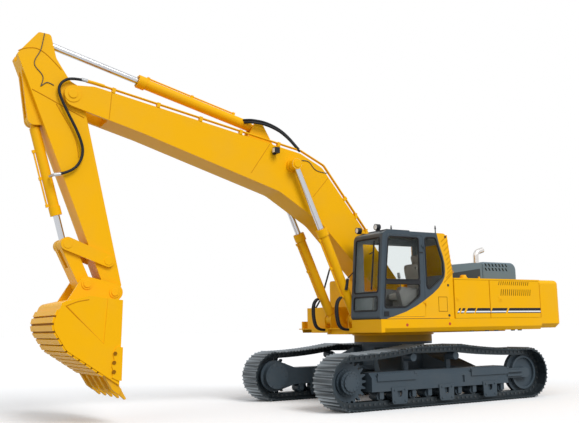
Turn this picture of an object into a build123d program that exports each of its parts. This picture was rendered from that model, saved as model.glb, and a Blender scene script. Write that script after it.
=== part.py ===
from build123d import *
import math
import os

os.makedirs("parts", exist_ok=True)

# Tracked excavator in millimetres: +X forward, +Y to the left (the cab's side), +Z up.
# Points in side view are (x, z) with x counted from the swing axis.

# Pins of the front, as they stand in the parked pose
BOOM_FOOT = (250.0, 2230.0)
BOOM_TIP = (6820.0, 5420.0)
ARM_TIP = (6055.0, 2105.0)
BOOM_CYLINDER_FOOT = (1220.0, 1620.0)
BOOM_CYLINDER_EYE = (2550.0, 4590.0)
ARM_CYLINDER_FOOT = (3190.0, 5310.0)
ARM_CYLINDER_EYE = (7290.0, 6340.0)
BUCKET_CYLINDER_FOOT = (7400.0, 4965.0)
BUCKET_CYLINDER_EYE = (6830.0, 2895.0)
SIDE_LINK_PIN = (6145.0, 2630.0)
BUCKET_EAR = (6520.0, 2240.0)
PIN_RADIUS = 55.0
PIN_PLAY = 0.1

# Widths of the front, counted from the machine's middle plane
BOOM_HALF = 290.0
FORK_INNER = 228.0
ARM_HALF = 215.0
EYE_HALF = 65.0
LUG_INNER = 75.0
LUG_OUTER = 135.0
SIDE_LINK_INNER = 225.0
SIDE_LINK_OUTER = 268.0
EAR_INNER = 280.0
EAR_OUTER = 335.0
BOOM_CYLINDER_Y = 420.0
BOOM_EYE_HALF = 70.0
BRACKET_INNER = 300.0
BRACKET_PLATE = 22.0
LUG_PLAY = 6.0

# Tracks
GAUGE = 2740.0
AXLE_SPAN = 4350.0
SHOE_WIDTH = 600.0
SHOE_COUNT = 51
SHOE_PLATE = 14.0
GROUSER = 28.0
GROUSER_BASE = 40.0
LINK_HEIGHT = 105.0
RAIL_WIDTH = 55.0
RAIL_GAP = 100.0
WHEEL_RADIUS = 353.0
TRACK_SAG = 28.0
CARRIER_X = (695.0, -358.0)
CARRIER_Z = 890.0
CARRIER_RADIUS = 72.0
CARRIER_GAP = 8.0
ROLLER_COUNT = 9
ROLLER_SPAN = 3000.0
ROLLER_RADIUS = 80.0
ROLLER_HALF = 115.0
SPROCKET_TEETH = 22
SPROCKET_TIP = 425.0
SPROCKET_ROOT = 335.0
TOOTH_PROFILE = (
    (-0.32, SPROCKET_ROOT),
    (-0.12, SPROCKET_TIP),
    (0.12, SPROCKET_TIP),
    (0.32, SPROCKET_ROOT),
)

# Side frames and car body
GUARD_PLACES = (1125.0, 0.0, -1125.0)
GUARD_HALF = 185.0
GUARD_BOTTOM = 80.0
GUARD_PLATE = 22.0
STEP_PLATES = ((730.0, 1620.0), (-1640.0, -650.0))
STEP_PLATE = 25.0
TOW_EYE_X = 820.0
TOW_EYE_RADIUS = 35.0
TOW_EYE_BOTTOM = 640.0
TOW_EYE_PLATE = 60.0
BEAM_FRONT = 1734.0
BEAM_REAR = -1640.0
BEAM_HALF = 190.0
BEAM_BOTTOM = 315.0
BEAM_TOP = 650.0
MOTOR_RADIUS = 315.0
CAR_TOP = 1165.0
RING_HEIGHT = 130.0
RING_RADIUS = 800.0
SWING_GAP = 0.5

# House
HOUSE_HALF = 1490.0
SKIRT_BOTTOM = 1360.0
SILL = 1600.0
DECK_TOP = 1450.0
DECK_PLATE = 20.0
HOUSE_TOP = 2390.0
HOUSE_FRONT = -390.0
DOOR_SEAM = -1343.0
HOUSE_REAR = -2800.0
SKIRT_PLATE = 50.0
SKIRT_BEVEL = 75.0
DECK_HALF = HOUSE_HALF - SKIRT_PLATE
FRONT_BEAM = 1340.0
FRONT_BEAM_ENDS = {1: HOUSE_HALF, -1: 900.0}
DOOR_PLATE = 30.0
DOOR_GAP = 5.0
ROOF_PLATE = 30.0
DOOR_TOP = HOUSE_TOP - ROOF_PLATE - DOOR_GAP
HINGE_PIN = 8.0
HINGE_INSET = 15.0
HINGE_DEPTH = 18.0

# Doors of the house: name, side, rear edge, front edge
HOUSE_DOORS = (
    ("side_door_front", 1, DOOR_SEAM, HOUSE_FRONT),
    ("side_door_rear", 1, HOUSE_REAR, DOOR_SEAM),
    ("pump_door", -1, HOUSE_REAR, DOOR_SEAM),
)
LOUVRE_DOOR = "side_door_rear"
LOUVRE_ROWS = ((-1610.0, 2262.0, 2340.0), (-1660.0, 2050.0, 2180.0))
LOUVRE_COUNT = 15
LOUVRE_PITCH = 60.0
LOUVRE_WIDTH = 20.0
LOUVRE_LEAN = 25.0
LOUVRE_DEPTH = 15.0
KNUCKLE = 14.0
KNUCKLE_LENGTH = 40.0
KNUCKLE_GAP = 0.5

# Counterweight, hoods and tanks
TAIL_RADIUS = 3700.0
TAIL_CORNER = 140.0
TAIL_TRIM = 90.0
COUNTERWEIGHT_BOTTOM = 1385.0
HOOD_HALF = 950.0
HOOD_FRONT = -1720.0
HOOD_REAR = -2720.0
HOOD_TOP = 2790.0
HOOD_SHEET = 25.0
HOOD_ROUND = 45.0
HOOD_HINGE = (HOOD_REAR - KNUCKLE - 2, HOUSE_TOP + KNUCKLE + 2)
HOOD_HINGE_PLACES = (-700.0, 700.0)
FIXED_HOOD_TOP = HOOD_TOP - 30
FIXED_HOOD_REAR = HOOD_FRONT + 20
FIXED_HOOD_FRONT = -760.0
FIXED_HOOD_RIGHT = -BRACKET_INNER - 100
HOOD_SLOT_ROWS = ((2600.0, 2665.0), (2690.0, 2755.0))
HOOD_SLOT_COUNT = 7
HOOD_SLOT_START = -1850.0
HOOD_SLOT_PITCH = 100.0
HOOD_SLOT_WIDTH = 40.0
HOOD_SLOT_LEAN = 35.0
BAY_HALF = 340.0
TANK_INNER = 480.0
TANK_FRONT = 550.0
TANK_TOP = 2480.0
TANK_WALL = 15.0

# Cab
CAB_INNER = 560.0
CAB_OUTER = HOUSE_HALF - 20
CAB_REAR = -260.0
CAB_FRONT_LOW = 1445.0
CAB_FRONT_TOP = 1310.0
CAB_ROOF = 3260.0
CAB_WALL = 45.0
GLASS = 8.0
CAB_PILLAR = 55.0
CAB_DOOR_REAR = 340.0
CAB_HINGE = (CAB_DOOR_REAR - 8, CAB_OUTER + KNUCKLE + 2)

# Outline of the arm in side view, from its top lug round by the outer edge to its tip and back
ARM_TOP_CORNER = (7720.0, 6010.0)
ARM_OUTLINE = [
    (7190.0, 6420.0, 60.0),
    (7390.0, 6430.0, 60.0),
    (ARM_TOP_CORNER[0], ARM_TOP_CORNER[1], 30.0),
    (7262.0, 4865.0, 200.0),
    (6728.0, 3531.0),
    (6215.0, 2230.0),
    (6175.0, 1985.0, 118.0),
    (5932.0, 1985.0, 118.0),
    (5905.0, 2240.0),
    (6336.0, 4107.0),
    (6600.0, 5250.0, 60.0),
    (6640.0, 5560.0, 80.0),
    (6850.0, 5660.0, 150.0),
    (7090.0, 6020.0, 200.0),
]

# The swing axis stands so that the origin lies under the middle of the machine's length
SWING_X = (TAIL_RADIUS - ARM_TOP_CORNER[0]) / 2

TRACK_Y = GAUGE / 2
SPROCKET_X = AXLE_SPAN / 2
IDLER_X = -AXLE_SPAN / 2
PLATE_LINE = WHEEL_RADIUS + LINK_HEIGHT
AXLE_Z = PLATE_LINE + SHOE_PLATE + GROUSER
RAIL_Z = GROUSER + SHOE_PLATE + LINK_HEIGHT
DECK_BOTTOM = CAR_TOP + RING_HEIGHT + SWING_GAP


def side_plane(y):
    """Plane of a side view at y: local x is forward from the swing axis, local y is up."""
    return Plane(origin=(SWING_X, y, 0), x_dir=(1, 0, 0), z_dir=(0, -1, 0))


def deck_plane(z):
    """Plane of a top view at height z."""
    return Plane(origin=(SWING_X, 0, z), x_dir=(1, 0, 0), z_dir=(0, 0, 1))


def cross_plane(x):
    """Plane across the machine at x: local x is left, local y is up, its normal points forward."""
    return Plane(origin=(SWING_X + x, 0, 0), x_dir=(0, 1, 0), z_dir=(1, 0, 0))


def draw(plane, points):
    """Closed outline on a plane. A point with a third number has a rounded corner of that radius."""
    with BuildSketch(plane) as outline:
        with BuildLine():
            Polyline(*[point[:2] for point in points], close=True)
        make_face()
        for point in points:
            if len(point) == 3:
                corner = outline.vertices().sort_by_distance((point[0], point[1]))[0]
                fillet(corner, radius=point[2])
    return outline.sketch


def plate(points, y_a, y_b, mode=Mode.ADD):
    """Side-view outline made a plate between two y values."""
    extrude(draw(side_plane(max(y_a, y_b)), points), amount=abs(y_b - y_a), mode=mode)


def block(x_a, x_b, y_a, y_b, z_a, z_b, mode=Mode.ADD):
    """Box between two corners."""
    centre = (SWING_X + (x_a + x_b) / 2, (y_a + y_b) / 2, (z_a + z_b) / 2)
    with Locations(centre):
        Box(abs(x_b - x_a), abs(y_b - y_a), abs(z_b - z_a), mode=mode)


def cross_rod(place, radius, y_a, y_b, mode=Mode.ADD):
    """Round bar across the machine, through a point of the side view."""
    with BuildSketch(side_plane(max(y_a, y_b))) as section:
        with Locations(place):
            Circle(radius)
    extrude(section.sketch, amount=abs(y_b - y_a), mode=mode)


def upright(x, y, radius, z_a, z_b, mode=Mode.ADD):
    """Upright round bar between two heights."""
    with BuildSketch(deck_plane(z_a)) as section:
        with Locations((x, y)):
            Circle(radius)
    extrude(section.sketch, amount=z_b - z_a, mode=mode)


def lug(circles, y_a, y_b, mode=Mode.ADD):
    """Plate whose outline is drawn tight round circles, each (x, z, radius)."""
    with BuildSketch(side_plane(max(y_a, y_b))) as outline:
        for x, z, radius in circles:
            with Locations((x, z)):
                Circle(radius)
        make_hull()
    extrude(outline.sketch, amount=abs(y_b - y_a), mode=mode)


def axis_plane(start, end, y):
    """Plane at start whose normal points along the line from start to end in side view."""
    return Plane(
        origin=(SWING_X + start[0], y, start[1]),
        x_dir=(0, 1, 0),
        z_dir=(end[0] - start[0], 0, end[1] - start[1]),
    )


def bar(plane, radius, start, end, mode=Mode.ADD):
    """Round bar along a plane's normal between two distances from its origin."""
    with BuildSketch(plane.offset(start)) as section:
        Circle(radius)
    extrude(section.sketch, amount=end - start, mode=mode)


def save(built, name):
    """Label a finished sub-part and write it."""
    built.part.label = name
    export_step(built.part, "parts/" + name + ".step")


def slanted_slot(x, width, lean, z_low, z_high):
    """Outline of a slot whose top leans by a distance along x."""
    return [(x, z_low), (x + width, z_low), (x + width + lean, z_high), (x + lean, z_high)]


def tube(points, bend, radius, y, bore=0.0):
    """Bent round tube in a side view at y, open inside when it has a bore."""
    with BuildLine(side_plane(y)) as path:
        FilletPolyline(*points, radius=bend)
    start = path.wire()
    with BuildSketch(Plane(origin=start @ 0, z_dir=start % 0)) as section:
        Circle(radius)
        if bore:
            Circle(bore, mode=Mode.SUBTRACT)
    sweep(section.sketch, path=start)


def line_x(low, high, z):
    """x at height z on the line through two points (x, z)."""
    return low[0] + (high[0] - low[0]) * (z - low[1]) / (high[1] - low[1])


# Track loop: line of the shoe plates' inner faces, run from the rear along the ground
CARRIER_LINE = CARRIER_Z + CARRIER_RADIUS + CARRIER_GAP + LINK_HEIGHT
with BuildLine(mode=Mode.PRIVATE) as loop:
    GROUND_LINE = AXLE_Z - PLATE_LINE
    TOP_LINE = AXLE_Z + PLATE_LINE
    Line((IDLER_X, GROUND_LINE), (SPROCKET_X, GROUND_LINE))
    CenterArc((SPROCKET_X, AXLE_Z), PLATE_LINE, -90, 180)
    for start, end in (
        ((SPROCKET_X, TOP_LINE), (CARRIER_X[0], CARRIER_LINE)),
        ((CARRIER_X[0], CARRIER_LINE), (CARRIER_X[1], CARRIER_LINE)),
        ((CARRIER_X[1], CARRIER_LINE), (IDLER_X, TOP_LINE)),
    ):
        run_sag = TRACK_SAG * abs(start[0] - end[0]) / (SPROCKET_X - CARRIER_X[0])
        if start[1] == end[1]:
            run_sag = TRACK_SAG / 4
        middle = ((start[0] + end[0]) / 2, (start[1] + end[1]) / 2 - run_sag)
        ThreePointArc(start, middle, end)
    CenterArc((IDLER_X, AXLE_Z), PLATE_LINE, 90, 180)
TRACK_WIRE = loop.wire()
SHOE_PITCH = TRACK_WIRE.length / SHOE_COUNT


def shoe_points(steps):
    """Points round the track, at (along, out) steps from the middle of each shoe's inner face."""
    points = []
    for shoe in range(SHOE_COUNT):
        place = TRACK_WIRE.position_at(shoe * SHOE_PITCH, PositionMode.LENGTH)
        along = TRACK_WIRE.tangent_at(shoe * SHOE_PITCH, PositionMode.LENGTH)
        for step, height in steps:
            x = place.X + along.X * step + along.Y * height
            z = place.Y + along.Y * step - along.X * height
            points.append((x, z))
    return points


GROUSER_STEPS = []
for bar_row in (-1, 0, 1):
    bar_middle = bar_row * SHOE_PITCH / 3
    GROUSER_STEPS.append((bar_middle - GROUSER_BASE / 2, SHOE_PLATE))
    GROUSER_STEPS.append((bar_middle, SHOE_PLATE + GROUSER))
    GROUSER_STEPS.append((bar_middle + GROUSER_BASE / 2, SHOE_PLATE))

# Undercarriage, one set each side: side is the sign of y
for side, hand in ((1, "left"), (-1, "right")):
    middle_y = side * TRACK_Y

    with BuildPart() as track:
        plate(shoe_points(GROUSER_STEPS), middle_y - SHOE_WIDTH / 2, middle_y + SHOE_WIDTH / 2)
        plate(shoe_points([(0, 0)]), middle_y - SHOE_WIDTH / 2, middle_y + SHOE_WIDTH / 2, Mode.SUBTRACT)
        for rail in (-1, 1):
            rail_inner = middle_y + rail * RAIL_GAP / 2
            rail_outer = rail_inner + rail * RAIL_WIDTH
            with BuildSketch(side_plane(max(rail_inner, rail_outer))):
                with BuildLine():
                    Polyline(*shoe_points([(0, SHOE_PLATE / 2)]), close=True)
                make_face()
                with BuildLine():
                    Polyline(*shoe_points([(0, -LINK_HEIGHT)]), close=True)
                make_face(mode=Mode.SUBTRACT)
            extrude(amount=RAIL_WIDTH)
    save(track, "track_" + hand)

    with BuildPart() as track_frame:
        with BuildSketch(cross_plane(BEAM_REAR)):
            with BuildLine():
                Polyline(
                    (middle_y - side * BEAM_HALF, BEAM_BOTTOM),
                    (middle_y + side * BEAM_HALF, BEAM_BOTTOM),
                    (middle_y + side * BEAM_HALF, BEAM_TOP - 90),
                    (middle_y + side * BEAM_HALF / 2, BEAM_TOP),
                    (middle_y - side * BEAM_HALF, BEAM_TOP),
                    close=True,
                )
            make_face()
        extrude(amount=BEAM_FRONT - BEAM_REAR)
        motor_inner = middle_y - side * BEAM_HALF
        motor_outer = motor_inner + side * 40
        motor_plate = [
            (SPROCKET_X, AXLE_Z, MOTOR_RADIUS),
            (BEAM_FRONT - 60, BEAM_BOTTOM + 40, 40),
            (BEAM_FRONT - 60, BEAM_TOP - 40, 40),
        ]
        lug(motor_plate, motor_inner, motor_outer)
        for yoke in (-1, 1):
            yoke_y = middle_y + yoke * 130
            lug([(IDLER_X, AXLE_Z, 95), (BEAM_REAR + 60, AXLE_Z, 95)], yoke_y, yoke_y + yoke * 45)
        for guard_x in GUARD_PLACES:
            for face in (-1, 1):
                guard_y = middle_y + face * BEAM_HALF
                guard_outer = guard_y + face * GUARD_PLATE
                guard_outline = [
                    (guard_x - GUARD_HALF, BEAM_BOTTOM + 60),
                    (guard_x - GUARD_HALF + 15, GUARD_BOTTOM, 50),
                    (guard_x + GUARD_HALF - 15, GUARD_BOTTOM, 50),
                    (guard_x + GUARD_HALF, BEAM_BOTTOM + 60),
                ]
                plate(guard_outline, guard_y, guard_outer)
                notch = [
                    (guard_x - 60, BEAM_BOTTOM),
                    (guard_x - 45, BEAM_BOTTOM - 110, 40),
                    (guard_x + 45, BEAM_BOTTOM - 110, 40),
                    (guard_x + 60, BEAM_BOTTOM),
                ]
                plate(notch, guard_y, guard_outer, Mode.SUBTRACT)
        step_y = middle_y + side * BEAM_HALF
        for step_rear, step_front in STEP_PLATES:
            step_outer = step_y + side * STEP_PLATE
            block(step_rear, step_front, step_y, step_outer, BEAM_TOP - 150, BEAM_TOP - 20)
        block(-480, -420, step_y, step_y - side * 30, 390, 520, Mode.SUBTRACT)
    save(track_frame, "track_frame_" + hand)

    with BuildPart() as sprocket:
        tooth_points = []
        for tooth in range(SPROCKET_TEETH):
            for share, radius in TOOTH_PROFILE:
                angle = 2 * math.pi * (tooth + share) / SPROCKET_TEETH
                tooth_x = SPROCKET_X + radius * math.cos(angle)
                tooth_points.append((tooth_x, AXLE_Z + radius * math.sin(angle)))
        plate(tooth_points, middle_y - RAIL_GAP / 2 + 10, middle_y + RAIL_GAP / 2 - 10)
        drive_inner = middle_y - side * (BEAM_HALF - 40)
        for radius, reach in ((240.0, 75.0), (200.0, 165.0), (150.0, 200.0)):
            cross_rod((SPROCKET_X, AXLE_Z), radius, drive_inner, middle_y + side * reach)
        cross_rod((SPROCKET_X, AXLE_Z), MOTOR_RADIUS - 60, motor_inner, motor_inner - side * 120)
    save(sprocket, "sprocket_" + hand)

    with BuildPart() as idler:
        cross_rod((IDLER_X, AXLE_Z), SPROCKET_ROOT, middle_y - ROLLER_HALF, middle_y + ROLLER_HALF)
        rim_half = RAIL_GAP / 2 - 10
        cross_rod((IDLER_X, AXLE_Z), SPROCKET_TIP - 5, middle_y - rim_half, middle_y + rim_half)
        for face in (-1, 1):
            recess_y = middle_y + face * ROLLER_HALF
            cross_rod((IDLER_X, AXLE_Z), SPROCKET_ROOT - 45, recess_y, recess_y - face * 50, Mode.SUBTRACT)
        cross_rod((IDLER_X, AXLE_Z), 110, middle_y - 130, middle_y + 130)
    save(idler, "idler_" + hand)

    with BuildPart() as rollers:
        roller_z = RAIL_Z + ROLLER_RADIUS + PIN_PLAY
        for index in range(ROLLER_COUNT):
            roller_x = ROLLER_SPAN * (index / (ROLLER_COUNT - 1) - 0.5)
            cross_rod((roller_x, roller_z), ROLLER_RADIUS, middle_y - ROLLER_HALF, middle_y + ROLLER_HALF)
            for face in (-1, 1):
                collar_y = middle_y + face * ROLLER_HALF
                collar_end = collar_y + face * 50
                block(roller_x - 45, roller_x + 45, collar_y, collar_end, roller_z - 40, BEAM_BOTTOM)
        for carrier_x in CARRIER_X:
            cross_rod((carrier_x, CARRIER_Z), CARRIER_RADIUS, middle_y - ROLLER_HALF, middle_y + ROLLER_HALF)
            post_y = middle_y - side * ROLLER_HALF
            block(carrier_x - 50, carrier_x + 50, post_y, post_y - side * 50, BEAM_TOP, CARRIER_Z + 40)
    save(rollers, "rollers_" + hand)

with BuildPart() as car_body:
    with BuildSketch(deck_plane(620)):
        Circle(640)
    extrude(amount=CAR_TOP - 620)
    with BuildSketch(deck_plane(CAR_TOP - 50)):
        Circle(RING_RADIUS)
    extrude(amount=50)
    for leg_side in (-1, 1):
        for leg_end in (-1, 1):
            for y, x, half_x, z_low, z_high in (
                (350.0, 430.0, 330.0, 620.0, 1060.0),
                (TRACK_Y - BEAM_HALF, 980.0, 260.0, 380.0, 620.0),
            ):
                with BuildSketch(side_plane(leg_side * y)):
                    with Locations((leg_end * x, (z_low + z_high) / 2)):
                        Rectangle(2 * half_x, z_high - z_low)
            loft(ruled=True)
    for end in (-1, 1):
        with BuildSketch(deck_plane(TOW_EYE_BOTTOM)) as eye_plate:
            with Locations((end * TOW_EYE_X, 0)):
                Circle(90)
            with Locations((end * (TOW_EYE_X - 260), 0)):
                Rectangle(120, 420)
            make_hull()
            with Locations((end * TOW_EYE_X, 0)):
                Circle(TOW_EYE_RADIUS, mode=Mode.SUBTRACT)
        extrude(amount=TOW_EYE_PLATE)
save(car_body, "car_body")

with BuildPart() as slew_ring:
    with BuildSketch(deck_plane(CAR_TOP)):
        Circle(RING_RADIUS)
        Circle(RING_RADIUS - 130, mode=Mode.SUBTRACT)
    extrude(amount=RING_HEIGHT)
save(slew_ring, "slew_ring")

# Upper structure
with BuildPart() as main_frame:
    with BuildSketch(deck_plane(DECK_BOTTOM)):
        Circle(RING_RADIUS + 40)
    extrude(amount=DECK_TOP - DECK_BOTTOM)
    block(HOUSE_REAR, 1330, -BRACKET_INNER - 150, BRACKET_INNER + 150, DECK_BOTTOM + 30, DECK_TOP)
    block(HOUSE_REAR, 1400, -DECK_HALF, DECK_HALF, DECK_TOP - DECK_PLATE, DECK_TOP)
    for side, skirt_front in ((1, CAB_FRONT_LOW - 20), (-1, 1300.0)):
        skirt_outline = [
            (side * HOUSE_HALF, SILL),
            (side * HOUSE_HALF, SKIRT_BOTTOM + SKIRT_BEVEL),
            (side * (DECK_HALF + 5), SKIRT_BOTTOM),
            (side * DECK_HALF, SKIRT_BOTTOM),
            (side * DECK_HALF, SILL),
        ]
        extrude(draw(cross_plane(HOUSE_REAR), skirt_outline), amount=skirt_front - HOUSE_REAR)
        beam_end = side * min(HOUSE_HALF, FRONT_BEAM_ENDS[side])
        block(FRONT_BEAM, CAB_FRONT_LOW - 20, side * BRACKET_INNER, beam_end, SKIRT_BOTTOM, DECK_TOP)
        bracket_y = side * BRACKET_INNER
        bracket_circles = [(BOOM_FOOT[0], BOOM_FOOT[1], 200), (-700, DECK_TOP, 40), (850, DECK_TOP, 40)]
        lug(bracket_circles, bracket_y, bracket_y + side * BRACKET_PLATE)
        cylinder_lug = [(*BOOM_CYLINDER_FOOT, 120), (950, DECK_TOP, 30), (1300, DECK_TOP, 30)]
        outer_lug = 2 * BOOM_CYLINDER_Y - BRACKET_INNER - BRACKET_PLATE
        for lug_y in (BRACKET_INNER, outer_lug):
            lug(cylinder_lug, side * lug_y, side * (lug_y + BRACKET_PLATE))
        cross_rod(BOOM_CYLINDER_FOOT, PIN_RADIUS, bracket_y, side * outer_lug)
    block(FRONT_BEAM, CAB_FRONT_LOW - 20, CAB_INNER, HOUSE_HALF, DECK_TOP, SILL)
    cross_rod(BOOM_FOOT, PIN_RADIUS, -BRACKET_INNER, BRACKET_INNER)
    for name, side, rear_x, front_x in HOUSE_DOORS:
        hinge_x = rear_x + DOOR_GAP + HINGE_INSET
        hinge_y = side * (HOUSE_HALF - HINGE_INSET)
        upright(hinge_x, hinge_y, HINGE_PIN + PIN_PLAY, SILL - HINGE_DEPTH, SILL, Mode.SUBTRACT)
save(main_frame, "main_frame")

with BuildPart() as counterweight:
    with BuildSketch(deck_plane(COUNTERWEIGHT_BOTTOM)):
        tail_corner = math.sqrt(TAIL_RADIUS**2 - HOUSE_HALF**2)
        with BuildLine():
            Line((HOUSE_REAR, -HOUSE_HALF), (HOUSE_REAR, HOUSE_HALF))
            Line((HOUSE_REAR, HOUSE_HALF), (-tail_corner, HOUSE_HALF))
            ThreePointArc((-tail_corner, HOUSE_HALF), (-TAIL_RADIUS, 0), (-tail_corner, -HOUSE_HALF))
            Line((-tail_corner, -HOUSE_HALF), (HOUSE_REAR, -HOUSE_HALF))
        make_face()
    extrude(amount=HOUSE_TOP - COUNTERWEIGHT_BOTTOM)
    fillet(counterweight.edges().filter_by(Axis.Z).group_by(Axis.X)[0], radius=TAIL_CORNER)
    for level, trim in ((-1, fillet), (0, chamfer)):
        rim = counterweight.edges().group_by(Axis.Z)[level].sort_by(Axis.X)[:-1]
        trim(rim, TAIL_TRIM)
save(counterweight, "counterweight")

with BuildPart() as engine_block:
    block(HOOD_REAR + 120, HOOD_FRONT - 120, -450, 450, DECK_TOP, HOUSE_TOP + 150)
save(engine_block, "engine_block")

with BuildPart() as house_frame:
    roof_bottom = HOUSE_TOP - ROOF_PLATE
    with BuildSketch(deck_plane(roof_bottom)):
        with BuildLine():
            Polyline(
                (HOUSE_REAR, -HOUSE_HALF),
                (DOOR_SEAM, -HOUSE_HALF),
                (DOOR_SEAM, -TANK_INNER),
                (FIXED_HOOD_FRONT + 20, -TANK_INNER),
                (FIXED_HOOD_FRONT + 20, BAY_HALF),
                (HOUSE_FRONT, BAY_HALF),
                (HOUSE_FRONT, HOUSE_HALF),
                (HOUSE_REAR, HOUSE_HALF),
                close=True,
            )
        make_face()
        with Locations(((HOOD_FRONT + HOOD_REAR) / 2, 0)):
            Rectangle(HOOD_FRONT - HOOD_REAR - 100, 2 * HOOD_HALF - 100, mode=Mode.SUBTRACT)
    extrude(amount=ROOF_PLATE)
    for post_x, post_side in (
        (HOUSE_FRONT - 40, 1),
        (DOOR_SEAM - 20, 1),
        (HOUSE_REAR, 1),
        (DOOR_SEAM - 40, -1),
        (HOUSE_REAR, -1),
    ):
        post_inner = post_side * (DECK_HALF - 60)
        block(post_x, post_x + 40, post_inner, post_side * DECK_HALF, DECK_TOP, roof_bottom)
    block(HOUSE_FRONT - 30, HOUSE_FRONT, BAY_HALF, DECK_HALF, DECK_TOP, roof_bottom)
    for name, side, rear_x, front_x in HOUSE_DOORS:
        hinge_x = rear_x + DOOR_GAP + HINGE_INSET
        hinge_y = side * (HOUSE_HALF - HINGE_INSET)
        hinge_hole = HINGE_PIN + PIN_PLAY
        upright(hinge_x, hinge_y, hinge_hole, roof_bottom, roof_bottom + HINGE_DEPTH, Mode.SUBTRACT)
    for hinge_y in HOOD_HINGE_PLACES:
        knuckle_end = hinge_y + KNUCKLE_LENGTH
        cross_rod(HOOD_HINGE, KNUCKLE, hinge_y, knuckle_end)
        hinge_x, hinge_z = HOOD_HINGE
        block(hinge_x - KNUCKLE, hinge_x + KNUCKLE - 2, hinge_y, knuckle_end, HOUSE_TOP, hinge_z)
        cross_rod(HOOD_HINGE, HINGE_PIN, knuckle_end, knuckle_end + KNUCKLE_LENGTH)
save(house_frame, "house_frame")

for name, side, rear_x, front_x in HOUSE_DOORS:
    with BuildPart() as house_door:
        door_y = side * HOUSE_HALF
        door_inner = door_y - side * DOOR_PLATE
        block(rear_x + DOOR_GAP, front_x - DOOR_GAP, door_y, door_inner, SILL + DOOR_GAP, DOOR_TOP)
        hinge_x = rear_x + DOOR_GAP + HINGE_INSET
        hinge_y = door_y - side * HINGE_INSET
        hinge_edges = house_door.edges().filter_by(Axis.Z).group_by(Axis.X)[0]
        fillet(hinge_edges.sort_by(Axis.Y)[-1 if side > 0 else 0], radius=HINGE_INSET)
        pin_reach = DOOR_GAP + HINGE_DEPTH - 2
        upright(hinge_x, hinge_y, HINGE_PIN, SILL + DOOR_GAP - pin_reach, DOOR_TOP + pin_reach)
        if name == LOUVRE_DOOR:
            for louvre_x, louvre_low, louvre_high in LOUVRE_ROWS:
                for index in range(LOUVRE_COUNT):
                    rear_edge = louvre_x - index * LOUVRE_PITCH
                    slot = slanted_slot(rear_edge, LOUVRE_WIDTH, -LOUVRE_LEAN, louvre_low, louvre_high)
                    plate(slot, door_y, door_y - side * LOUVRE_DEPTH, Mode.SUBTRACT)
    save(house_door, name)

with BuildPart() as engine_hood:
    hood_outline = [
        (HOOD_REAR, HOUSE_TOP + DOOR_GAP),
        (HOOD_REAR, HOOD_TOP, 160),
        (HOOD_FRONT, HOOD_TOP, 70),
        (HOOD_FRONT, HOUSE_TOP + DOOR_GAP),
    ]
    plate(hood_outline, -HOOD_HALF, HOOD_HALF)
    for hood_face in (0, -1):
        rim = engine_hood.faces().filter_by(Axis.Y).sort_by(Axis.Y)[hood_face].edges()
        fillet(rim.sort_by(Axis.Z)[1:], radius=HOOD_ROUND)
    hood_inside = [
        (HOOD_REAR + HOOD_SHEET, HOUSE_TOP),
        (HOOD_REAR + HOOD_SHEET, HOOD_TOP - HOOD_SHEET, 135),
        (HOOD_FRONT - HOOD_SHEET, HOOD_TOP - HOOD_SHEET),
        (HOOD_FRONT - HOOD_SHEET, HOUSE_TOP),
    ]
    plate(hood_inside, -HOOD_HALF + HOOD_SHEET, HOOD_HALF - HOOD_SHEET, Mode.SUBTRACT)
    for slot_low, slot_high in HOOD_SLOT_ROWS:
        for index in range(HOOD_SLOT_COUNT):
            slot_x = HOOD_SLOT_START - index * HOOD_SLOT_PITCH
            slot = slanted_slot(slot_x, HOOD_SLOT_WIDTH, HOOD_SLOT_LEAN, slot_low, slot_high)
            plate(slot, -HOOD_HALF, HOOD_HALF, Mode.SUBTRACT)
    for hinge_y in HOOD_HINGE_PLACES:
        leaf_y = hinge_y + KNUCKLE_LENGTH + KNUCKLE_GAP
        leaf_end = leaf_y + KNUCKLE_LENGTH
        hinge_x, hinge_z = HOOD_HINGE
        cross_rod(HOOD_HINGE, KNUCKLE, leaf_y, leaf_end)
        block(hinge_x, HOOD_REAR + 5, leaf_y, leaf_end, hinge_z - 6, hinge_z + 6)
        cross_rod(HOOD_HINGE, HINGE_PIN + PIN_PLAY, leaf_y, leaf_end, Mode.SUBTRACT)
save(engine_hood, "engine_hood")

with BuildPart() as hood_front:
    hood_outline = [
        (FIXED_HOOD_REAR, HOUSE_TOP),
        (FIXED_HOOD_REAR, FIXED_HOOD_TOP),
        (FIXED_HOOD_REAR + 250, FIXED_HOOD_TOP),
        (FIXED_HOOD_FRONT - 60, FIXED_HOOD_TOP - 60, 80),
        (FIXED_HOOD_FRONT, HOUSE_TOP),
    ]
    plate(hood_outline, FIXED_HOOD_RIGHT, HOOD_HALF)
    with BuildSketch(side_plane(HOOD_HALF - HOOD_SHEET)):
        with BuildLine():
            Polyline(*[point[:2] for point in hood_outline], close=True)
        make_face()
        offset(amount=-HOOD_SHEET, kind=Kind.INTERSECTION)
    extrude(amount=HOOD_HALF - FIXED_HOOD_RIGHT - 2 * HOOD_SHEET, mode=Mode.SUBTRACT)
save(hood_front, "hood_front")

EXHAUST = [(-1620.0, FIXED_HOOD_TOP), (-1620.0, 2990.0), (-1820.0, 3050.0)]
with BuildPart() as exhaust:
    tube(EXHAUST, 110, 58, 865, bore=48)
save(exhaust, "exhaust")

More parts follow.
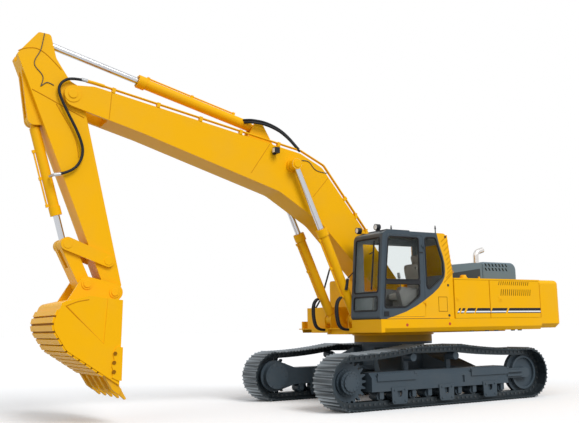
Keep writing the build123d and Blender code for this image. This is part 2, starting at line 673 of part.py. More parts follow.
with BuildPart() as tanks:
    tank_rear = DOOR_SEAM + DOOR_GAP
    block(tank_rear, TANK_FRONT, -HOUSE_HALF, -TANK_INNER, SILL, TANK_TOP)
    fillet(tanks.edges().filter_by(Axis.X).group_by(Axis.Z)[-1], radius=60)
    block(tank_rear, TANK_FRONT, -HOUSE_HALF + SKIRT_PLATE, -TANK_INNER, DECK_TOP, SILL)
    block(
        tank_rear + TANK_WALL,
        TANK_FRONT - TANK_WALL,
        -HOUSE_HALF + SKIRT_PLATE + TANK_WALL,
        -TANK_INNER - TANK_WALL,
        DECK_TOP + TANK_WALL,
        TANK_TOP - 60,
        Mode.SUBTRACT,
    )
save(tanks, "tanks")

TOOLBOX = (700.0, 1270.0, -1300.0, -560.0, DECK_TOP, 1850.0)
LID_HINGE = (TOOLBOX[0] - KNUCKLE - 2, TOOLBOX[5] + KNUCKLE + 2)
LID_HINGE_PLACES = (-1200.0, -760.0)
LID_PLATE = 30.0
with BuildPart() as toolbox:
    block(*TOOLBOX)
    x_a, x_b, y_a, y_b, z_a, z_b = TOOLBOX
    block(x_a + 20, x_b - 20, y_a + 20, y_b - 20, z_a + 20, z_b, Mode.SUBTRACT)
    hinge_x, hinge_z = LID_HINGE
    for hinge_y in LID_HINGE_PLACES:
        knuckle_end = hinge_y + KNUCKLE_LENGTH
        cross_rod(LID_HINGE, KNUCKLE, hinge_y, knuckle_end)
        block(hinge_x - KNUCKLE, x_a, hinge_y, knuckle_end, z_b - 60, hinge_z - 5)
        cross_rod(LID_HINGE, HINGE_PIN, knuckle_end, knuckle_end + KNUCKLE_LENGTH)
save(toolbox, "toolbox")

with BuildPart() as toolbox_lid:
    block(x_a, x_b, y_a, y_b, z_b + 0.5, z_b + LID_PLATE)
    for hinge_y in LID_HINGE_PLACES:
        leaf_y = hinge_y + KNUCKLE_LENGTH + KNUCKLE_GAP
        leaf_end = leaf_y + KNUCKLE_LENGTH
        cross_rod(LID_HINGE, KNUCKLE, leaf_y, leaf_end)
        block(hinge_x, x_a + 5, leaf_y, leaf_end, hinge_z, hinge_z + KNUCKLE)
        cross_rod(LID_HINGE, HINGE_PIN + PIN_PLAY, leaf_y, leaf_end, Mode.SUBTRACT)
save(toolbox_lid, "toolbox_lid")

HANDRAIL = [
    (430.0, TANK_TOP),
    (430.0, 2770.0),
    (629.0, 2770.0),
    (859.0, 2128.0),
    (1054.0, 1846.0),
    (1054.0, DECK_TOP),
]
with BuildPart() as handrail:
    tube(HANDRAIL, 70, 19, -1340)
save(handrail, "handrail")

# Cab: hollow box with a leaning windscreen
CAB_OUTLINE = [
    (CAB_REAR, SILL),
    (CAB_FRONT_LOW, SILL, 60),
    (CAB_FRONT_TOP, CAB_ROOF, 150),
    (CAB_REAR, CAB_ROOF, 90),
]


def screen_x(z):
    """x of the cab's front face at height z."""
    return line_x((CAB_FRONT_LOW, SILL), (CAB_FRONT_TOP, CAB_ROOF), z)


def cab_z(share):
    """Height at a share of the way from the cab's sill to its roof."""
    return SILL + share * (CAB_ROOF - SILL)


CAB_DOOR_LOW = cab_z(0.024)
CAB_DOOR_TOP = cab_z(0.958)
CAB_HINGE_HEIGHTS = (cab_z(0.151), cab_z(0.801))
DOOR_OUTLINE = [
    (CAB_DOOR_REAR, CAB_DOOR_LOW, 40),
    (screen_x(CAB_DOOR_LOW) - CAB_PILLAR, CAB_DOOR_LOW, 60),
    (screen_x(CAB_DOOR_TOP) - CAB_PILLAR - 35, CAB_DOOR_TOP, 80),
    (CAB_DOOR_REAR, CAB_DOOR_TOP, 60),
]
QUARTER_WINDOW = [
    (290.0, cab_z(0.94), 50),
    (20.0, cab_z(0.945), 60),
    (-145.0, cab_z(0.663), 80),
    (-149.0, cab_z(0.497), 60),
    (225.0, cab_z(0.334), 60),
    (290.0, cab_z(0.361), 40),
]
RIGHT_WINDOW = (-120.0, 1130.0, cab_z(0.331), cab_z(0.892))
REAR_WINDOW = (CAB_INNER + 110, CAB_OUTER - 110, cab_z(0.512), cab_z(0.88))
SCREEN_HEIGHTS = ((cab_z(0.3), cab_z(0.92)), (cab_z(0.096), cab_z(0.255)))
SCREEN_Y = (CAB_INNER + 80, CAB_OUTER - 80)
HATCH = (520.0, 1080.0, CAB_INNER + 170, CAB_OUTER - 170)
HATCH_HEIGHT = 45.0
COWL_BEND = cab_z(0.542)

with BuildPart() as cab_frame:
    plate(CAB_OUTLINE, CAB_INNER, CAB_OUTER)
    with BuildSketch(side_plane(CAB_OUTER - CAB_WALL)):
        with BuildLine():
            Polyline(*[point[:2] for point in CAB_OUTLINE], close=True)
        make_face()
        offset(amount=-CAB_WALL, kind=Kind.INTERSECTION)
    extrude(amount=CAB_OUTER - CAB_INNER - 2 * CAB_WALL, mode=Mode.SUBTRACT)
    plate(DOOR_OUTLINE, CAB_OUTER, CAB_OUTER - CAB_WALL, Mode.SUBTRACT)
    plate(QUARTER_WINDOW, CAB_OUTER, CAB_OUTER - CAB_WALL, Mode.SUBTRACT)
    x_a, x_b, z_a, z_b = RIGHT_WINDOW
    block(x_a, x_b, CAB_INNER, CAB_INNER + CAB_WALL, z_a, z_b, Mode.SUBTRACT)
    y_a, y_b, z_a, z_b = REAR_WINDOW
    block(CAB_REAR, CAB_REAR + CAB_WALL, y_a, y_b, z_a, z_b, Mode.SUBTRACT)
    for z_a, z_b in SCREEN_HEIGHTS:
        block(CAB_FRONT_TOP - CAB_WALL - 40, CAB_FRONT_LOW, SCREEN_Y[0], SCREEN_Y[1], z_a, z_b, Mode.SUBTRACT)
    block(*HATCH, CAB_ROOF, CAB_ROOF + HATCH_HEIGHT)
    hinge_x, hinge_y = CAB_HINGE
    for hinge_z in CAB_HINGE_HEIGHTS:
        knuckle_end = hinge_z + KNUCKLE_LENGTH
        upright(hinge_x, hinge_y, KNUCKLE, hinge_z, knuckle_end)
        block(hinge_x - KNUCKLE, hinge_x, CAB_OUTER, hinge_y, hinge_z, knuckle_end)
        upright(hinge_x, hinge_y, HINGE_PIN, knuckle_end, knuckle_end + KNUCKLE_LENGTH)
save(cab_frame, "cab_frame")

with BuildPart() as cab_glass:
    pane = CAB_WALL / 2
    plate(QUARTER_WINDOW, CAB_OUTER - pane, CAB_OUTER - pane - GLASS)
    x_a, x_b, z_a, z_b = RIGHT_WINDOW
    block(x_a, x_b, CAB_INNER + pane, CAB_INNER + pane + GLASS, z_a, z_b)
    y_a, y_b, z_a, z_b = REAR_WINDOW
    block(CAB_REAR + pane, CAB_REAR + pane + GLASS, y_a, y_b, z_a, z_b)
    for z_a, z_b in SCREEN_HEIGHTS:
        screen_outline = [
            (screen_x(z_a) - pane, z_a),
            (screen_x(z_b) - pane, z_b),
            (screen_x(z_b) - pane - GLASS, z_b),
            (screen_x(z_a) - pane - GLASS, z_a),
        ]
        plate(screen_outline, *SCREEN_Y)
save(cab_glass, "cab_glass")

BAND_LOW = cab_z(0.398)
BAND_HIGH = cab_z(0.44)
DOOR_GLASS_LOW = cab_z(0.126)
DOOR_GLASS_TOP = CAB_DOOR_TOP - 45
DOOR_WINDOWS = (
    [
        (CAB_DOOR_REAR + 120, BAND_HIGH, 30),
        (screen_x(BAND_HIGH) - 2 * CAB_PILLAR, BAND_HIGH, 30),
        (screen_x(DOOR_GLASS_TOP) - 2 * CAB_PILLAR - 30, DOOR_GLASS_TOP, 70),
        (CAB_DOOR_REAR + 110, DOOR_GLASS_TOP, 50),
    ],
    [
        (CAB_DOOR_REAR + 130, cab_z(0.256), 40),
        (CAB_DOOR_REAR + 470, cab_z(0.131), 150),
        (screen_x(DOOR_GLASS_LOW) - 2 * CAB_PILLAR, DOOR_GLASS_LOW, 60),
        (screen_x(BAND_LOW) - 2 * CAB_PILLAR, BAND_LOW, 30),
        (CAB_DOOR_REAR + 120, BAND_LOW, 30),
    ],
)
with BuildPart() as cab_door:
    with BuildSketch(side_plane(CAB_OUTER)) as door_section:
        with BuildLine():
            Polyline(*[point[:2] for point in DOOR_OUTLINE], close=True)
        make_face()
        for point in DOOR_OUTLINE:
            fillet(door_section.vertices().sort_by_distance((point[0], point[1]))[0], radius=point[2])
        offset(amount=-DOOR_GAP)
    extrude(amount=CAB_WALL - 5)
    for window in DOOR_WINDOWS:
        plate(window, CAB_OUTER, CAB_OUTER - CAB_WALL, Mode.SUBTRACT)
    hinge_x, hinge_y = CAB_HINGE
    for hinge_z in CAB_HINGE_HEIGHTS:
        leaf_z = hinge_z + KNUCKLE_LENGTH + KNUCKLE_GAP
        leaf_end = leaf_z + KNUCKLE_LENGTH
        upright(hinge_x, hinge_y, KNUCKLE, leaf_z, leaf_end)
        block(hinge_x, hinge_x + 50, CAB_OUTER + DOOR_GAP, hinge_y, leaf_z, leaf_end)
        block(hinge_x + 20, hinge_x + 50, CAB_OUTER, hinge_y, leaf_z, leaf_end)
        upright(hinge_x, hinge_y, HINGE_PIN + PIN_PLAY, leaf_z, leaf_end, Mode.SUBTRACT)
save(cab_door, "cab_door")

with BuildPart() as cab_door_glass:
    for window in DOOR_WINDOWS:
        plate(window, CAB_OUTER - pane, CAB_OUTER - pane - GLASS)
save(cab_door_glass, "cab_door_glass")

with BuildPart() as cab_cowl:
    cowl_outline = [
        (CAB_REAR, SILL),
        (HOUSE_FRONT + 8, SILL),
        (HOUSE_FRONT + 8, COWL_BEND),
        (CAB_REAR - 20, CAB_ROOF - 30),
        (CAB_REAR, CAB_ROOF - 30),
    ]
    plate(cowl_outline, CAB_INNER + 60, CAB_OUTER)
    cowl_inside = [
        (CAB_REAR, SILL),
        (HOUSE_FRONT + 38, SILL),
        (HOUSE_FRONT + 38, COWL_BEND - 10),
        (CAB_REAR, CAB_ROOF - 180),
    ]
    plate(cowl_inside, CAB_INNER + 90, CAB_OUTER - 30, Mode.SUBTRACT)
save(cab_cowl, "cab_cowl")

LAMP_PLACES = (CAB_INNER + 140, CAB_OUTER - 170)
LAMP_RADIUS = 58.0
LAMP_Z = CAB_ROOF + 10 + LAMP_RADIUS
with BuildPart() as cab_lamps:
    for lamp_y in LAMP_PLACES:
        block(1085, 1330, lamp_y - 20, lamp_y + 20, CAB_ROOF, CAB_ROOF + 14)
        lamp_plane = Plane(origin=(SWING_X, lamp_y, LAMP_Z), x_dir=(0, 1, 0), z_dir=(1, 0, 0))
        bar(lamp_plane, LAMP_RADIUS, 1255, 1345)
        bar(lamp_plane, LAMP_RADIUS - 8, 1335, 1345, Mode.SUBTRACT)
save(cab_lamps, "cab_lamps")

SEAT_X = 480.0
SEAT_Y = (CAB_INNER + CAB_OUTER) / 2
CAB_FLOOR = SILL + CAB_WALL
CONSOLE_HEIGHT = 560.0
with BuildPart() as cab_seat:
    block(SEAT_X - 180, SEAT_X + 180, SEAT_Y - 180, SEAT_Y + 180, CAB_FLOOR, CAB_FLOOR + 320)
    block(SEAT_X - 260, SEAT_X + 260, SEAT_Y - 240, SEAT_Y + 240, CAB_FLOOR + 320, CAB_FLOOR + 450)
    plate(
        [
            (SEAT_X - 260, CAB_FLOOR + 450),
            (SEAT_X - 130, CAB_FLOOR + 450),
            (SEAT_X - 280, CAB_FLOOR + 1080, 40),
            (SEAT_X - 390, CAB_FLOOR + 1080, 40),
        ],
        SEAT_Y - 230,
        SEAT_Y + 230,
    )
    for face in (-1, 1):
        console_y = SEAT_Y + face * 250
        block(SEAT_X - 150, SEAT_X + 420, console_y, console_y + face * 130, CAB_FLOOR, CAB_FLOOR + CONSOLE_HEIGHT)
save(cab_seat, "cab_seat")

# Boom
BOOM_OUTLINE = [
    (BOOM_FOOT[0] - 190, BOOM_FOOT[1] - 190, 185),
    (BOOM_FOOT[0] + 190, BOOM_FOOT[1] - 190, 185),
    (1900, 3500, 600),
    (2830, 4060, 600),
    (5560, 4880),
    (6930, 5240, 160),
    (6970, 5560, 150),
    (6450, 5600, 300),
    (2350, 4850, 250),
    (1850, 4610, 250),
    (BOOM_FOOT[0] - 190, BOOM_FOOT[1] + 190, 150),
]
BOOM_WALL = 25.0
FORK_LENGTH = 690.0
boom_slope = math.atan2(BOOM_TIP[1] - BOOM_CYLINDER_EYE[1], BOOM_TIP[0] - BOOM_CYLINDER_EYE[0])


def boom_point(back, up):
    """Point at a distance back from the boom's tip pin along its upper leg, and above it."""
    x = BOOM_TIP[0] - back * math.cos(boom_slope) - up * math.sin(boom_slope)
    z = BOOM_TIP[1] - back * math.sin(boom_slope) + up * math.cos(boom_slope)
    return (x, z)


with BuildPart() as boom:
    plate(BOOM_OUTLINE, -BOOM_HALF, BOOM_HALF)
    with BuildSketch(side_plane(BOOM_HALF - BOOM_WALL)):
        with BuildLine():
            Polyline(*[point[:2] for point in BOOM_OUTLINE], close=True)
        make_face()
        offset(amount=-2 * BOOM_WALL, kind=Kind.INTERSECTION)
        with BuildLine():
            Polyline(
                boom_point(FORK_LENGTH + BOOM_WALL, -900),
                boom_point(FORK_LENGTH + BOOM_WALL, 900),
                boom_point(-900, 900),
                boom_point(-900, -900),
                close=True,
            )
        make_face(mode=Mode.SUBTRACT)
        with Locations(BOOM_FOOT):
            Circle(420, mode=Mode.SUBTRACT)
    extrude(amount=2 * (BOOM_HALF - BOOM_WALL), mode=Mode.SUBTRACT)
    fork_outline = [
        boom_point(FORK_LENGTH, -900),
        boom_point(FORK_LENGTH, 900),
        boom_point(-900, 900),
        boom_point(-900, -900),
    ]
    plate(fork_outline, -FORK_INNER, FORK_INNER, Mode.SUBTRACT)
    cross_rod(BOOM_FOOT, PIN_RADIUS + PIN_PLAY, -BOOM_HALF, BOOM_HALF, Mode.SUBTRACT)
    cross_rod(BOOM_TIP, PIN_RADIUS, -BOOM_HALF, BOOM_HALF)
    for side in (-1, 1):
        boss_y = BOOM_CYLINDER_Y - BOOM_EYE_HALF - LUG_PLAY
        cross_rod(BOOM_CYLINDER_EYE, 125, side * BOOM_HALF, side * boss_y)
        foot_x, foot_z = ARM_CYLINDER_FOOT
        foot_lug = [(foot_x, foot_z, 110), (foot_x - 330, foot_z - 420, 40), (foot_x + 260, foot_z - 330, 40)]
        lug(foot_lug, side * LUG_INNER, side * LUG_OUTER)
        cross_rod(BOOM_TIP, 140, side * BOOM_HALF, side * (BOOM_HALF + 12))
    cross_rod(ARM_CYLINDER_FOOT, PIN_RADIUS, -LUG_INNER, LUG_INNER)
save(boom, "boom")

# Pipes along the boom's back, in clamps that stand on its top edge
PIPE_RADIUS = 15.0
PIPE_LIFT = 65.0
PIPE_LINES = (248.0, 281.0)
BOOM_PIPE = [(1250.0, 3978.0), (1800.0, 4668.0), (2332.0, 4914.0), (6290.0, 5638.0)]
CLAMP_HALF = 30.0
CLAMP_HEIGHT = 88.0
CLAMP_Y = (225.0, 300.0)
CLAMP_SEATS = (
    ((60.0, 2420.0), (1850.0, 4610.0), (0.72,)),
    ((2350.0, 4850.0), (6450.0, 5600.0), (0.12, 0.32, 0.52, 0.72, 0.92)),
)
with BuildPart() as boom_pipes:
    for side in (-1, 1):
        for pipe_y in PIPE_LINES:
            tube(BOOM_PIPE, 150, PIPE_RADIUS, side * pipe_y)
        for start, end, shares in CLAMP_SEATS:
            run = math.hypot(end[0] - start[0], end[1] - start[1])
            along_x = (end[0] - start[0]) / run
            along_z = (end[1] - start[1]) / run
            for share in shares:
                clamp_outline = []
                for step, rise in ((-1, 0), (1, 0), (1, CLAMP_HEIGHT), (-1, CLAMP_HEIGHT)):
                    reach = share * run + step * CLAMP_HALF
                    clamp_x = start[0] + along_x * reach - along_z * rise
                    clamp_outline.append((clamp_x, start[1] + along_z * reach + along_x * rise))
                plate(clamp_outline, side * CLAMP_Y[0], side * CLAMP_Y[1])
save(boom_pipes, "boom_pipes")

BOOM_LAMP = (2953.0, 4823.0)
with BuildPart() as boom_lamp:
    lamp_x, lamp_z = BOOM_LAMP
    block(lamp_x - 25, lamp_x + 25, BOOM_HALF, BOOM_HALF + 60, lamp_z - 60, lamp_z - 20)
    block(lamp_x - 55, lamp_x + 55, BOOM_HALF + 45, BOOM_HALF + 145, lamp_z - 45, lamp_z + 65)
save(boom_lamp, "boom_lamp")

# Cylinders: a barrel with its foot eye and a rod with its piston and eye
CYLINDER_EYE = 105.0
GLAND = 150.0
GLAND_HOLE = 60.0
GLAND_STEP = 12.0
BARREL_WALL = 18.0
BARREL_START = 140.0
NECK_RADIUS = 62.0
PISTON = 40.0
PIPE_STAND = 28.0
PIPE_START = 360.0
PORT_LENGTH = 50.0
PORT_WIDTH = 44.0
PORT_ROOT = 12.0
PORT_HEIGHT = PIPE_STAND + PIPE_RADIUS + 6


def barrel(foot, eye, y, half, length, radius, rod_radius, pipe_side):
    """Barrel from its foot pin towards the rod's eye, with an oil pipe along one side of it."""
    plane = axis_plane(foot, eye, y)
    bar(plane, NECK_RADIUS, 60, BARREL_START)
    bar(plane, radius, BARREL_START, length)
    bar(plane, radius + GLAND_STEP, length - GLAND, length)
    cross_rod(foot, CYLINDER_EYE, y - half, y + half)
    bore_end = length - GLAND_HOLE
    bar(plane, radius - BARREL_WALL, BARREL_START + BARREL_WALL, bore_end, Mode.SUBTRACT)
    bar(plane, rod_radius + PIN_PLAY, bore_end, length, Mode.SUBTRACT)
    cross_rod(foot, PIN_RADIUS + PIN_PLAY, y - half, y + half, Mode.SUBTRACT)
    pipe_start = BARREL_START + PIPE_START
    pipe_end = length - GLAND - 60
    pipe_v = pipe_side * (radius + PIPE_STAND)
    pipe_middle = (pipe_start + pipe_end) / 2
    for port in (pipe_start, pipe_middle, pipe_end):
        with BuildSketch(plane.offset(port)) as port_block:
            with Locations((0, pipe_side * (radius + (PORT_HEIGHT - PORT_ROOT) / 2))):
                Rectangle(PORT_WIDTH, PORT_HEIGHT + PORT_ROOT)
        extrude(port_block.sketch, amount=PORT_LENGTH)
    with BuildSketch(plane.offset(pipe_start)) as pipe:
        with Locations((0, pipe_v)):
            Circle(PIPE_RADIUS)
    extrude(pipe.sketch, amount=pipe_end - pipe_start)


def rod(foot, eye, y, half, tail, radius, rod_radius):
    """Rod from its piston, tail away from the foot pin, to its eye."""
    plane = axis_plane(foot, eye, y)
    reach = math.hypot(eye[0] - foot[0], eye[1] - foot[1])
    bar(plane, rod_radius, tail, reach - 40)
    bar(plane, radius - BARREL_WALL - PIN_PLAY, tail, tail + PISTON)
    cross_rod(eye, CYLINDER_EYE, y - half, y + half)


BOOM_BARREL = 1900.0
BOOM_ROD_TAIL = 1241.0
BOOM_BARREL_RADIUS = 92.0
BOOM_ROD_RADIUS = 58.0
ARM_BARREL = 2480.0
ARM_ROD_TAIL = 1760.0
ARM_BARREL_RADIUS = 98.0
ARM_ROD_RADIUS = 60.0
BUCKET_BARREL = 1640.0
BUCKET_ROD_TAIL = 520.0
BUCKET_BARREL_RADIUS = 85.0
BUCKET_ROD_RADIUS = 55.0

with BuildPart() as boom_barrels:
    for side in (-1, 1):
        barrel(
            BOOM_CYLINDER_FOOT,
            BOOM_CYLINDER_EYE,
            side * BOOM_CYLINDER_Y,
            BOOM_CYLINDER_Y - BRACKET_INNER - BRACKET_PLATE - LUG_PLAY,
            BOOM_BARREL,
            BOOM_BARREL_RADIUS,
            BOOM_ROD_RADIUS,
            -1,
        )
save(boom_barrels, "boom_barrels")

with BuildPart() as boom_rods:
    for side in (-1, 1):
        rod(
            BOOM_CYLINDER_FOOT,
            BOOM_CYLINDER_EYE,
            side * BOOM_CYLINDER_Y,
            BOOM_EYE_HALF,
            BOOM_ROD_TAIL,
            BOOM_BARREL_RADIUS,
            BOOM_ROD_RADIUS,
        )
save(boom_rods, "boom_rods")

with BuildPart() as arm_barrel:
    barrel(
        ARM_CYLINDER_FOOT,
        ARM_CYLINDER_EYE,
        0,
        EYE_HALF,
        ARM_BARREL,
        ARM_BARREL_RADIUS,
        ARM_ROD_RADIUS,
        1,
    )
save(arm_barrel, "arm_barrel")

with BuildPart() as arm_rod:
    rod(ARM_CYLINDER_FOOT, ARM_CYLINDER_EYE, 0, EYE_HALF, ARM_ROD_TAIL, ARM_BARREL_RADIUS, ARM_ROD_RADIUS)
save(arm_rod, "arm_rod")

with BuildPart() as bucket_barrel:
    barrel(
        BUCKET_CYLINDER_FOOT,
        BUCKET_CYLINDER_EYE,
        0,
        EYE_HALF,
        BUCKET_BARREL,
        BUCKET_BARREL_RADIUS,
        BUCKET_ROD_RADIUS,
        1,
    )
save(bucket_barrel, "bucket_barrel")

with BuildPart() as bucket_rod:
    rod(
        BUCKET_CYLINDER_FOOT,
        BUCKET_CYLINDER_EYE,
        0,
        EYE_HALF,
        BUCKET_ROD_TAIL,
        BUCKET_BARREL_RADIUS,
        BUCKET_ROD_RADIUS,
    )
save(bucket_rod, "bucket_rod")

# Arm
ARM_WALL = 22.0
ARM_SLOT_BOTTOM = 5950.0
with BuildPart() as arm:
    plate(ARM_OUTLINE, -ARM_HALF, ARM_HALF)
    with BuildSketch(side_plane(ARM_HALF - ARM_WALL)):
        with BuildLine():
            Polyline(*[point[:2] for point in ARM_OUTLINE], close=True)
        make_face()
        offset(amount=-2 * ARM_WALL, kind=Kind.INTERSECTION)
        with Locations((7000, ARM_SLOT_BOTTOM + 500)):
            Rectangle(3000, 2 * 540, mode=Mode.SUBTRACT)
        for place, radius in ((BOOM_TIP, 230), (ARM_TIP, 260), (SIDE_LINK_PIN, 120)):
            with Locations(place):
                Circle(radius, mode=Mode.SUBTRACT)
    extrude(amount=2 * (ARM_HALF - ARM_WALL), mode=Mode.SUBTRACT)
    block(6500, 8000, -LUG_INNER, LUG_INNER, ARM_SLOT_BOTTOM, 6600, Mode.SUBTRACT)
    cross_rod(BOOM_TIP, PIN_RADIUS + PIN_PLAY, -ARM_HALF, ARM_HALF, Mode.SUBTRACT)
    for side in (-1, 1):
        foot_x, foot_z = BUCKET_CYLINDER_FOOT
        foot_lug = [
            (foot_x, foot_z, 110),
            (foot_x - 180, foot_z - 50, 40),
            (foot_x + 190, foot_z + 800, 40),
            (foot_x, foot_z + 700, 40),
        ]
        lug(foot_lug, side * LUG_INNER, side * LUG_OUTER)
        cross_rod(SIDE_LINK_PIN, PIN_RADIUS, side * (ARM_HALF - ARM_WALL), side * SIDE_LINK_OUTER)
    cross_rod(BUCKET_CYLINDER_FOOT, CYLINDER_EYE + LUG_PLAY, -LUG_INNER, LUG_INNER, Mode.SUBTRACT)
    cross_rod(BUCKET_CYLINDER_FOOT, PIN_RADIUS, -LUG_INNER, LUG_INNER)
    cross_rod(ARM_TIP, 125, -EAR_INNER + 8, EAR_INNER - 8)
    cross_rod(ARM_TIP, PIN_RADIUS + PIN_PLAY, -EAR_INNER, EAR_INNER, Mode.SUBTRACT)
save(arm, "arm")

# Bucket linkage
with BuildPart() as side_links:
    for side in (-1, 1):
        lug(
            [(*SIDE_LINK_PIN, 100), (*BUCKET_CYLINDER_EYE, 110)],
            side * SIDE_LINK_INNER,
            side * SIDE_LINK_OUTER,
        )
        cross_rod(
            SIDE_LINK_PIN,
            PIN_RADIUS + PIN_PLAY,
            side * SIDE_LINK_INNER,
            side * SIDE_LINK_OUTER,
            Mode.SUBTRACT,
        )
save(side_links, "side_links")

with BuildPart() as push_link:
    lug([(*BUCKET_EAR, 100), (*BUCKET_CYLINDER_EYE, 110)], -ARM_HALF, ARM_HALF)
    with BuildSketch(side_plane(LUG_INNER)):
        with Locations(BUCKET_CYLINDER_EYE):
            Circle(380)
    extrude(amount=2 * LUG_INNER, mode=Mode.SUBTRACT)
    cross_rod(BUCKET_EAR, 100, -EAR_INNER + 8, EAR_INNER - 8)
    cross_rod(BUCKET_EAR, PIN_RADIUS + PIN_PLAY, -EAR_INNER, EAR_INNER, Mode.SUBTRACT)
save(push_link, "push_link")

# Bucket
BUCKET_HALF = 750.0
BUCKET_WALL = 30.0
BUCKET_OUTLINE = [
    (6050, 1960),
    (6560, 2030),
    (7010, 1930, 120),
    (7170, 1560, 260),
    (6930, 1180, 200),
    (6090, 620),
]
BUCKET_PANEL = [(6290, 2080), (6350, 1270), (7040, 1925), (7040, 2080)]
SIDE_CUTTER = [
    (6045, 1210),
    (6058, 690),
    (6106, 690),
    (6215, 745),
    (6190, 840, 30),
    (6225, 930, 30),
    (6180, 1020, 30),
    (6200, 1110, 30),
    (6140, 1230, 30),
]
BUCKET_MIDDLE = (6550.0, 1500.0)
BUCKET_WIRE = draw(side_plane(0), BUCKET_OUTLINE).faces()[0].outer_wire()
DOUBLER = 10.0
CUTTER_PLATE = 28.0
PIN_BOSS = 90.0
STRIP_COUNT = 12
STRIP_BASE = 60.0
STRIP_HEIGHT = 28.0
STRIP_INSET = 20.0
STRIP_ENDS = ((7125.0, 1783.0), (6392.0, 800.0))
WIRE_STEPS = 400
STRIP_RUN = []
for end_x, end_z in STRIP_ENDS:
    strip_end = Vector(SWING_X + end_x, 0, end_z)
    spans = [(BUCKET_WIRE.position_at(step / WIRE_STEPS) - strip_end).length for step in range(WIRE_STEPS)]
    STRIP_RUN.append(spans.index(min(spans)) / WIRE_STEPS)
with BuildPart() as bucket:
    plate(BUCKET_OUTLINE, -BUCKET_HALF, BUCKET_HALF)
    offset(amount=-BUCKET_WALL, openings=bucket.faces().sort_by(Axis.X)[0])
    for side in (-1, 1):
        lug(
            [(*ARM_TIP, 140), (*BUCKET_EAR, 120), (6200, 1960, 40), (6800, 1940, 40)],
            side * EAR_INNER,
            side * EAR_OUTER,
        )
    with BuildSketch(side_plane(BUCKET_HALF - BUCKET_WALL)):
        with BuildLine():
            Polyline(*[point[:2] for point in BUCKET_OUTLINE], close=True)
        make_face()
        offset(amount=-BUCKET_WALL, kind=Kind.INTERSECTION)
    extrude(amount=2 * (BUCKET_HALF - BUCKET_WALL), mode=Mode.SUBTRACT)
    for side in (-1, 1):
        plate(BUCKET_OUTLINE, side * BUCKET_HALF, side * (BUCKET_HALF + DOUBLER))
        plate(BUCKET_PANEL, side * BUCKET_HALF, side * (BUCKET_HALF + DOUBLER), Mode.SUBTRACT)
        plate(SIDE_CUTTER, side * BUCKET_HALF, side * (BUCKET_HALF + CUTTER_PLATE))
        for pin in (ARM_TIP, BUCKET_EAR):
            cross_rod(pin, PIN_BOSS, side * EAR_OUTER, side * (EAR_OUTER + 15))
    for index in range(STRIP_COUNT):
        strip_length = STRIP_RUN[0] + (STRIP_RUN[1] - STRIP_RUN[0]) * index / (STRIP_COUNT - 1)
        place = BUCKET_WIRE.position_at(strip_length)
        along = BUCKET_WIRE.tangent_at(strip_length)
        strip_x = place.X - SWING_X
        inward_x = BUCKET_MIDDLE[0] - strip_x
        inward_z = BUCKET_MIDDLE[1] - place.Z
        outward = -1 if along.Z * inward_x - along.X * inward_z > 0 else 1
        strip_outline = []
        for step, rise in ((-STRIP_BASE / 2, -5), (STRIP_BASE / 2, -5), (0, STRIP_HEIGHT)):
            corner_x = strip_x + along.X * step + outward * along.Z * rise
            strip_outline.append((corner_x, place.Z + along.Z * step - outward * along.X * rise))
        plate(strip_outline, STRIP_INSET - BUCKET_HALF, BUCKET_HALF - STRIP_INSET)
    for pin in (ARM_TIP, BUCKET_EAR):
        cross_rod(pin, PIN_RADIUS, -EAR_OUTER, EAR_OUTER)
save(bucket, "bucket")

TOOTH_COUNT = 5
ADAPTER = [(6330, 780), (6190, 550), (6085, 470), (6040, 545), (6090, 620)]
ADAPTER_HALF = 62.0
TOOTH_TIP = [(6110, 500), (5975, 385), (5960, 405), (6050, 560)]
TOOTH_HALF = 42.0
with BuildPart() as bucket_teeth:
    for tooth in range(TOOTH_COUNT):
        tooth_y = (BUCKET_HALF - ADAPTER_HALF - 20) * (2 * tooth / (TOOTH_COUNT - 1) - 1)
        plate(ADAPTER, tooth_y - ADAPTER_HALF, tooth_y + ADAPTER_HALF)
        plate(TOOTH_TIP, tooth_y - TOOTH_HALF, tooth_y + TOOTH_HALF)
save(bucket_teeth, "bucket_teeth")

# Hoses, plain round tubes: the loop at the arm's top and the loops at the boom cylinders' feet
PIPE_RUN_ON = 0.13
ARM_HOSE = [
    BOOM_PIPE[-1],
    (
        BOOM_PIPE[-1][0] + PIPE_RUN_ON * (BOOM_PIPE[-1][0] - BOOM_PIPE[-2][0]),
        BOOM_PIPE[-1][1] + PIPE_RUN_ON * (BOOM_PIPE[-1][1] - BOOM_PIPE[-2][1]),
    ),
    (7060.0, 5570.0),
    (7030.0, 5330.0),
    (6640.0, 4640.0),
    (6620.0, 4330.0),
    (6800.0, 4085.0),
    (7020.0, 4030.0),
]
ARM_HOSE_BEND = 110.0
HOSE_RADIUS = 18.0
with BuildPart() as arm_hose:
    tube(ARM_HOSE, ARM_HOSE_BEND, HOSE_RADIUS, PIPE_LINES[1] + 2)
save(arm_hose, "arm_hose")



def port_point(away):
    """Point in front of a boom barrel's lower port, at a distance from the barrel's axis."""
    run = math.dist(BOOM_CYLINDER_FOOT, BOOM_CYLINDER_EYE)
    along_x = (BOOM_CYLINDER_EYE[0] - BOOM_CYLINDER_FOOT[0]) / run
    along_z = (BOOM_CYLINDER_EYE[1] - BOOM_CYLINDER_FOOT[1]) / run
    port = BARREL_START + PIPE_START + PORT_LENGTH / 2
    x = BOOM_CYLINDER_FOOT[0] + along_x * port + along_z * away
    z = BOOM_CYLINDER_FOOT[1] + along_z * port - along_x * away
    return (x, z)


